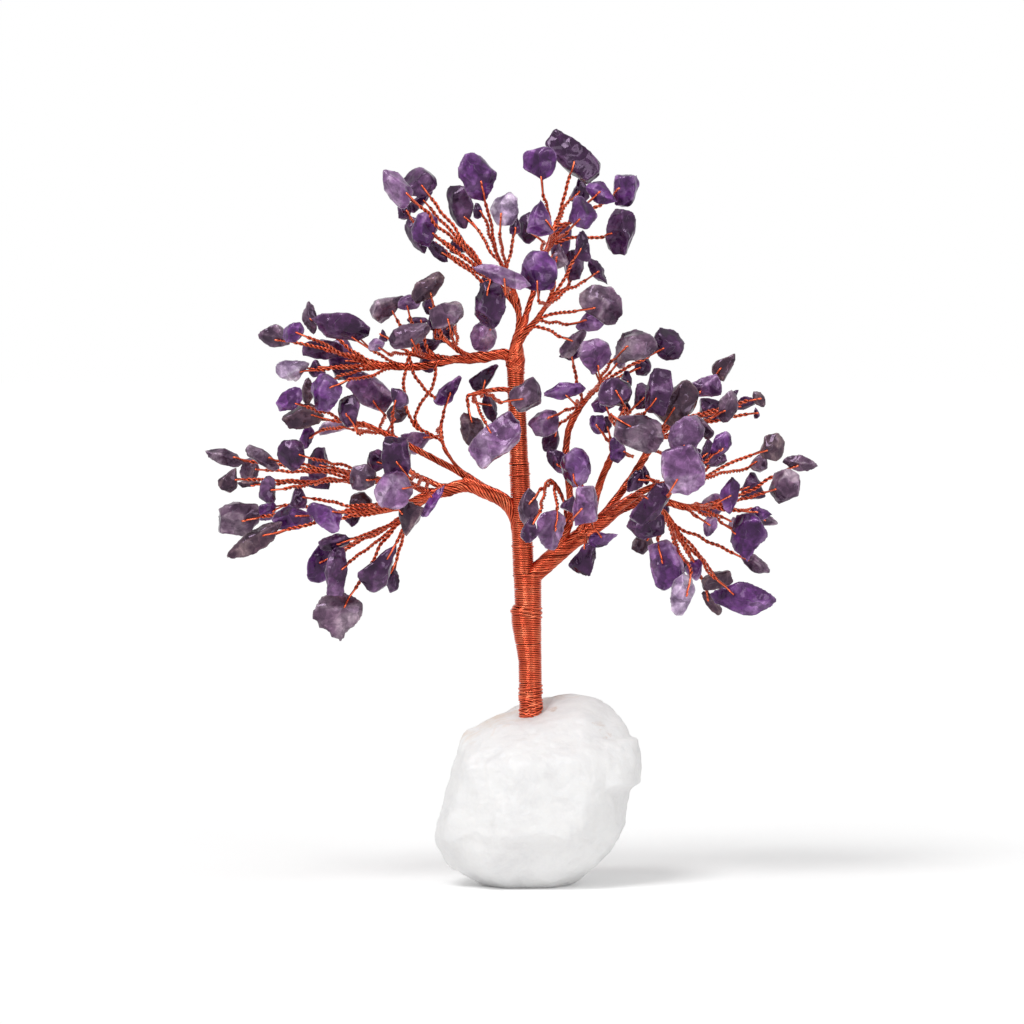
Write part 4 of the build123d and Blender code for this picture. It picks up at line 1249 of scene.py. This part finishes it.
def crossing_turn(centre, axis, radius, tilt, heading):
    """One loose turn of wire that lies across the others, and its outward directions."""
    side = square_to(Vector((math.cos(heading), math.sin(heading), 0)), axis)
    beside = axis.cross(side)
    points = []
    outwards = []
    for step in range(crossing_points + 1):
        angle = 2 * math.pi * step / crossing_points
        climb = math.sin(angle) * math.tan(math.radians(tilt)) * radius
        outward = side * math.cos(angle) + beside * math.sin(angle)
        place = centre + axis * climb
        points.append(place + outward * (radius + knot_bulge(place.z, outward)))
        outwards.append(outward)
    return points, outwards


lower_lean = (lower_top - lower_foot).normalized()
upper_lean = (upper_top - upper_foot).normalized()


def wrapped_trunk():
    """The four lengths of wrapping, with the loose turns that cross them."""
    spans = [
        ("trunk_wrap_foot", 44.4, 64.5, lower_axis, lower_lean, 2.55, 2.66),
        ("trunk_wrap_lower", 64.5, 82.6, lower_axis, lower_lean, 2.66, 2.95),
        ("trunk_wrap_upper", 82.6, 111.8, upper_axis, upper_lean, 2.34, 2.16),
        ("trunk_wrap_top", 111.8, 141.2, upper_axis, upper_lean, 2.02, 1.76),
    ]
    crossings = {
        "trunk_wrap_foot": [
            (45.2, 24, 1.4), (45.9, -21, 2.0), (46.7, 20, 4.6), (47.5, -18, 1.2), (48.3, 17, 1.9),
            (49.0, -15, 5.1), (49.8, 12, 1.5), (50.7, -10, 2.3), (51.5, 8, 4.4), (52.6, -7, 1.7),
        ],
        "trunk_wrap_lower": [
            (71.9, 14, 1.5), (72.6, 9, 1.9), (73.2, 15, 1.2), (73.9, 8, 1.6), (82.3, 3, 3.3),
        ],
        "trunk_wrap_upper": [(90.0, 4, 1.9), (109.0, -3, 0.6)],
        "trunk_wrap_top": [
            (112.0, 3, 2.2), (137.0, 28, 1.1), (138.0, 30, 2.0), (139.0, 32, 3.0), (139.8, 30, 4.2),
            (140.4, 26, 5.2), (141.0, 24, 0.3),
        ],
    }
    for number, (name, low, high, axis_at, lean, low_radius, high_radius) in enumerate(spans):
        turns, outwards = wound_turns(axis_at(low), axis_at(high), low_radius, high_radius, number)
        # The outward directions of the turns give the painted shade between them
        strands = [(turns, wrap_wire_radius, outwards, rope_shade)]
        for height, tilt, heading in crossings[name]:
            core = low_radius + (high_radius - low_radius) * (height - low) / (high - low)
            radius = core + wrap_clearance + wrap_wire_radius * crossing_lift
            crossing, outwards = crossing_turn(axis_at(height), lean, radius, tilt, heading)
            strands.append((crossing, wrap_wire_radius * crossing_girth, outwards, rope_shade))
        piece = wire_mesh(f"wound_{name}", strands, copper)
        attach(piece, "stand")
        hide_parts(name)


wrapped_trunk()

# Limbs: the smooth line of each, growing out of the rope that it leaves
limb_lines = {}
limb_tails = {}
for limb, (parent, leave, route) in limbs.items():
    bough = bough_of(limb)
    points = [from_root(bough, *place) for place in route]
    if parent == "trunk":
        start = bough_tails[limb]
    else:
        line = limb_lines[parent]
        far = line_length(line)
        if leave is None:
            start = [place_on(line, far - tail)[0] for tail in tip_tails]
        else:
            along = min(leave + limb_tails[parent], far)
            place, heading = place_on(line, along)
            outward = square_to(points[0] - place, heading)
            inset = bundle_radius(parent) - 0.5 * bundle_radius(limb)
            back = place_on(line, along - limb_tail)[0]
            start = [back + outward * inset * 0.6, place + outward * inset]
    line = smooth_line(start + points, limb_step)
    limb_lines[limb] = line
    if parent == "trunk":
        away = [(place - points[0]).length for place in line]
        limb_tails[limb] = away.index(min(away)) * limb_step
    else:
        limb_tails[limb] = limb_tail


def rope_radius(limb, distance):
    """Radius of a limb's rope at a distance along its line, from the wires that are still in it."""
    far = line_length(limb_lines[limb])
    own = len(chips.get(limb, []))
    left = 0
    if own:
        left = min(own, 1 + (far - distance) / min(twig_spacing, twig_zone * far / own))
    for name, (parent, leave, route) in limbs.items():
        if parent == limb:
            gone = far if leave is None else min(leave + limb_tails[limb], far)
            left += chips_beyond(name) * held((gone + branch_blend / 2 - distance) / branch_blend)
    fullness = rope_fullness * bough_fullness.get(bough_of(limb), 1)
    radius = fullness * wire_radius * math.sqrt(2 * left / bundle_fill) + rope_slack
    return max(radius, least_rope_radius)


def limb_rope(limb, seed):
    """The rope of one limb, thinner towards its tip as its wires leave it."""
    line = even_steps(limb_lines[limb], rope_step)
    far = line_length(line)
    radii = [rope_radius(limb, far * index / (len(line) - 1)) for index in range(len(line))]
    lay = rope_lay + rope_lay_growth * max(radii)
    return rope(line, radii, lay, seed * 1.3, loose_lay.get(limb, tight_lay))


def crooked(line, seed):
    """The same line bent a little to and fro, as wire twisted by hand is; its ends stay."""
    total = line_length(line)
    bent = []
    for index, place in enumerate(line):
        run = total * index / (len(line) - 1)
        loose = held((run - stem_root) / stem_root_fade)
        loose *= held((total - run - stem_tip) / stem_tip_fade)
        stray = noise.noise_vector(Vector((run / stem_wave, seed * 0.77, 0)))
        bent.append(place + stray * stem_slack * loose)
    return bent


def hooked_end(place, facing, towards):
    """A short end of wire that stands up from the hole and bends over."""
    points = []
    for step in range(hook_points + 1):
        angle = hook_bend * step / hook_points
        bend = towards * (hook_reach * (1 - math.cos(angle)))
        points.append(place + bend + facing * (hook_rise * math.sin(angle)))
    return points, shown_wire_radius, None, stem_shade


def strung_limb(limb, seed):
    """The chips of one limb, and the twisted stems and eyes that hold them."""
    bough = bough_of(limb)
    line = limb_lines[limb]
    far = line_length(line)
    rows = list(zip(chips[limb], chip_tones[limb].split()))
    last = from_root(bough, *limbs[limb][2][-1])
    ahead = (last - from_root(bough, *limbs[limb][2][-2])).normalized()
    rows.sort(key=lambda pair: -ahead.dot(from_root(bough, *pair[0][:3]) - last))
    spacing = min(twig_spacing, twig_zone * far / len(rows))
    stones = bmesh.new()
    strands = limb_rope(limb, seed)
    for order, (row, tone) in enumerate(rows):
        plane = chip_plane(bough, row, order)
        swell = close_swell.get(limb, chip_swell)
        shape = tumbled_chip(bough, row, order, tone, seed * 20 + order, swell)
        leave = far - order * spacing
        place, heading = place_on(line, leave)
        if order == 0:
            start = [place_on(line, far - tail)[0] for tail in first_stem_tails] + [line[-1]]
        else:
            outward = square_to(plane[0] - place, heading)
            edge = rope_radius(limb, leave) * stem_edge
            deep, shallow = (place_on(line, leave - tail)[0] for tail in stem_tails)
            start = [
                deep + outward * edge * 0.5,
                shallow + outward * edge,
                place + outward * edge * 1.5,
            ]
        foot, towards, halves = eye_of_wire(shape, row, plane, start[-1])
        reach = foot - start[-1]
        bow = Vector([noise.noise(Vector((seed, order, part))) for part in (0.5, 3.5, 6.5)])
        bow = bow * reach.length * stem_bow
        middle = [start[-1] + reach * 0.35 + bow, start[-1] + reach * 0.7 + bow * 0.4]
        way = smooth_line(start + middle + [foot - towards * eye_lead, foot], stem_step)
        way = crooked(way, seed * 31 + order)
        (first, first_out), (second, second_out) = twisted_pair(way, plane[3])
        whole = first + halves[0] + halves[1][::-1] + second[::-1]
        # Painted shade on the eye: its wire is dark where it lies against the stone and lighter on its
        # outer side
        shine = plane[3] * eye_brightness
        eye_out = [shine] * len(halves[0]) + [-shine] * len(halves[1])
        strands.append((whole, shown_wire_radius, first_out + eye_out + second_out[::-1], stem_shade))
        if (order + seed) % hook_every == 0:
            strands.append(hooked_end(halves[0][-2], plane[3], towards))
        stone = as_mesh(shape, "chip")
        stones.from_mesh(stone)
        bpy.data.meshes.remove(stone)
    for number, route in enumerate(ties.get(limb, [])):
        way = crooked(smooth_line([Vector(place) for place in route], stem_step), seed * 17 + number)
        (first, first_out), (second, second_out) = twisted_pair(way, Vector((0, -1, 0.1)))
        whole = first + second[::-1]
        strands.append((whole, shown_wire_radius, first_out + second_out[::-1], stem_shade))
    body = bodies[bough]
    wires = wire_mesh(f"{limb}_twisted_wires", strands, copper)
    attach(wires, body)
    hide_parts(f"{limb}_wires")
    bmesh.ops.scale(stones, vec=(MM, MM, MM), verts=stones.verts)
    gems = placed(f"{limb}_stones", as_mesh(stones, f"{limb}_stones"), amethyst)
    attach(gems, body)
    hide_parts(f"{limb}_chips")


def trunk_neck():
    """The swelling where the trunk's wires part into the crown and the upper left bough."""
    line = smooth_line([upper_axis(*place) for place in neck_route], neck_step)
    girth = []
    for place in line:
        above = place.z - neck_height
        fall = neck_fall_above * above if above > 0 else -neck_fall_below * above
        girth.append(upper_top_radius + neck_swell - fall)
    return rope(line, girth, neck_lay, neck_phase)


def bare_limb(limb, seed):
    """The rope of a bough or an arm that carries no chips itself."""
    bough = bough_of(limb)
    strands = limb_rope(limb, seed)
    if limb == "crown":
        strands.extend(trunk_neck())
    wires = wire_mesh(f"{limb}_rope", strands, copper)
    if limb == bough:
        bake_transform(wires)
        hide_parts(f"{limb}_bough")
    else:
        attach(wires, bodies[bough])
        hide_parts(limb)


for number, limb in enumerate(limbs):
    if limb in chips:
        strung_limb(limb, number + 1)
    else:
        bare_limb(limb, number + 1)


def core_finish():
    """The copper of the wires inside the wrapping, darkened as painted shade."""
    core = Finish("core_copper")
    grain = core.noise(380, 4)
    return core.shaded({
        "Base Color": core.ramp(grain, (0.3, (0.10, 0.014, 0.008)), (0.7, (0.26, 0.046, 0.024))),
        "Metallic": 0.85,
        "Roughness": 0.4,
        "Normal": core.bump(grain, 0.2, 0.0002),
    })


def resin_finish():
    """Clear set resin with faint cloud and bubbles."""
    resin = Finish("socket_resin")
    cloud = resin.noise(600, 3)
    return resin.shaded({
        "Base Color": resin.ramp(cloud, (0.3, (0.74, 0.68, 0.58)), (0.7, (0.88, 0.84, 0.77))),
        "Roughness": 0.25,
        "Normal": resin.bump(cloud, 0.2, 0.0003),
    })


# Solids that stay as they are
for solid, material in (("trunk_core", core_finish()), ("socket_resin", resin_finish())):
    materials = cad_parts[solid].data.materials
    materials.clear()
    materials.append(material)


# Stage: pale floor, soft light, and a long lens a little above the level
def pale_floor():
    """A plain pale floor, lifted a little where it is seen."""
    shape = bmesh.new()
    bmesh.ops.create_circle(shape, cap_ends=True, segments=96, radius=6)
    mesh = as_mesh(shape, "floor")
    pale = Finish("pale_floor")
    mesh.materials.append(pale.shaded({
        "Base Color": pale.ramp(pale.noise(40, 3), (0.3, 0.96), (0.7, 0.97)),
        "Roughness": 0.9,
        "Specular IOR Level": 0.0,
        "Emission Color": (1, 1, 1, 1),
        "Emission Strength": pale.math("MULTIPLY", pale.seen(), floor_lift),
    }))
    floor = bpy.data.objects.new("floor", mesh)
    bpy.context.scene.collection.objects.link(floor)


def white_surround():
    """An even surround: white where it is seen, dimmer as a light."""
    world = bpy.data.worlds.new("surround")
    bpy.context.scene.world = world
    around = NodeTree(world)
    around.wire(around.nodes["Background"], {
        "Color": (1, 1, 1, 1),
        "Strength": around.level(around.seen(), 0, 1, surround_light, 1.0),
    })


def soft_light(name, azimuth, elevation, spread, strength):
    """One broad soft light from far away; azimuth from the front, all angles in degrees."""
    lamp = bpy.data.lights.new(name, "SUN")
    lamp.angle = math.radians(spread)
    lamp.energy = strength
    holder = bpy.data.objects.new(name, lamp)
    turn = math.radians(azimuth)
    rise = math.radians(elevation)
    way = Vector((math.sin(turn) * math.cos(rise), -math.cos(turn) * math.cos(rise), math.sin(rise)))
    holder.location = way * lamp_distance
    holder.rotation_euler = way.to_track_quat("Z", "Y").to_euler()
    bpy.context.scene.collection.objects.link(holder)


pale_floor()
white_surround()
soft_light("key", -35, 52, 24, 1.37)
soft_light("fill", 34, 14, 24, 0.46)
soft_light("top", 8, 72, 24, 0.25)

# Camera: how much of the tree each of the picture's pixels shows, in millimetres
picture_pixels = 1024
pixel_size = 0.265
view_elevation = math.radians(2.5)
view_distance = 1.6
view_width = picture_pixels * pixel_size * MM
view_centre = Vector((-6.1, 0, 99.1)) * MM
camera = bpy.data.cameras.new("front")
camera.lens = camera.sensor_width * view_distance / view_width
camera.clip_end = 50
front = bpy.data.objects.new("front", camera)
view_side = Vector((0, -math.cos(view_elevation), math.sin(view_elevation)))
front.location = view_centre + view_side * view_distance
front.rotation_euler = (view_centre - front.location).to_track_quat("-Z", "Y").to_euler()
bpy.context.scene.collection.objects.link(front)
bpy.context.scene.camera = front
bpy.context.scene.view_settings.view_transform = "Standard"
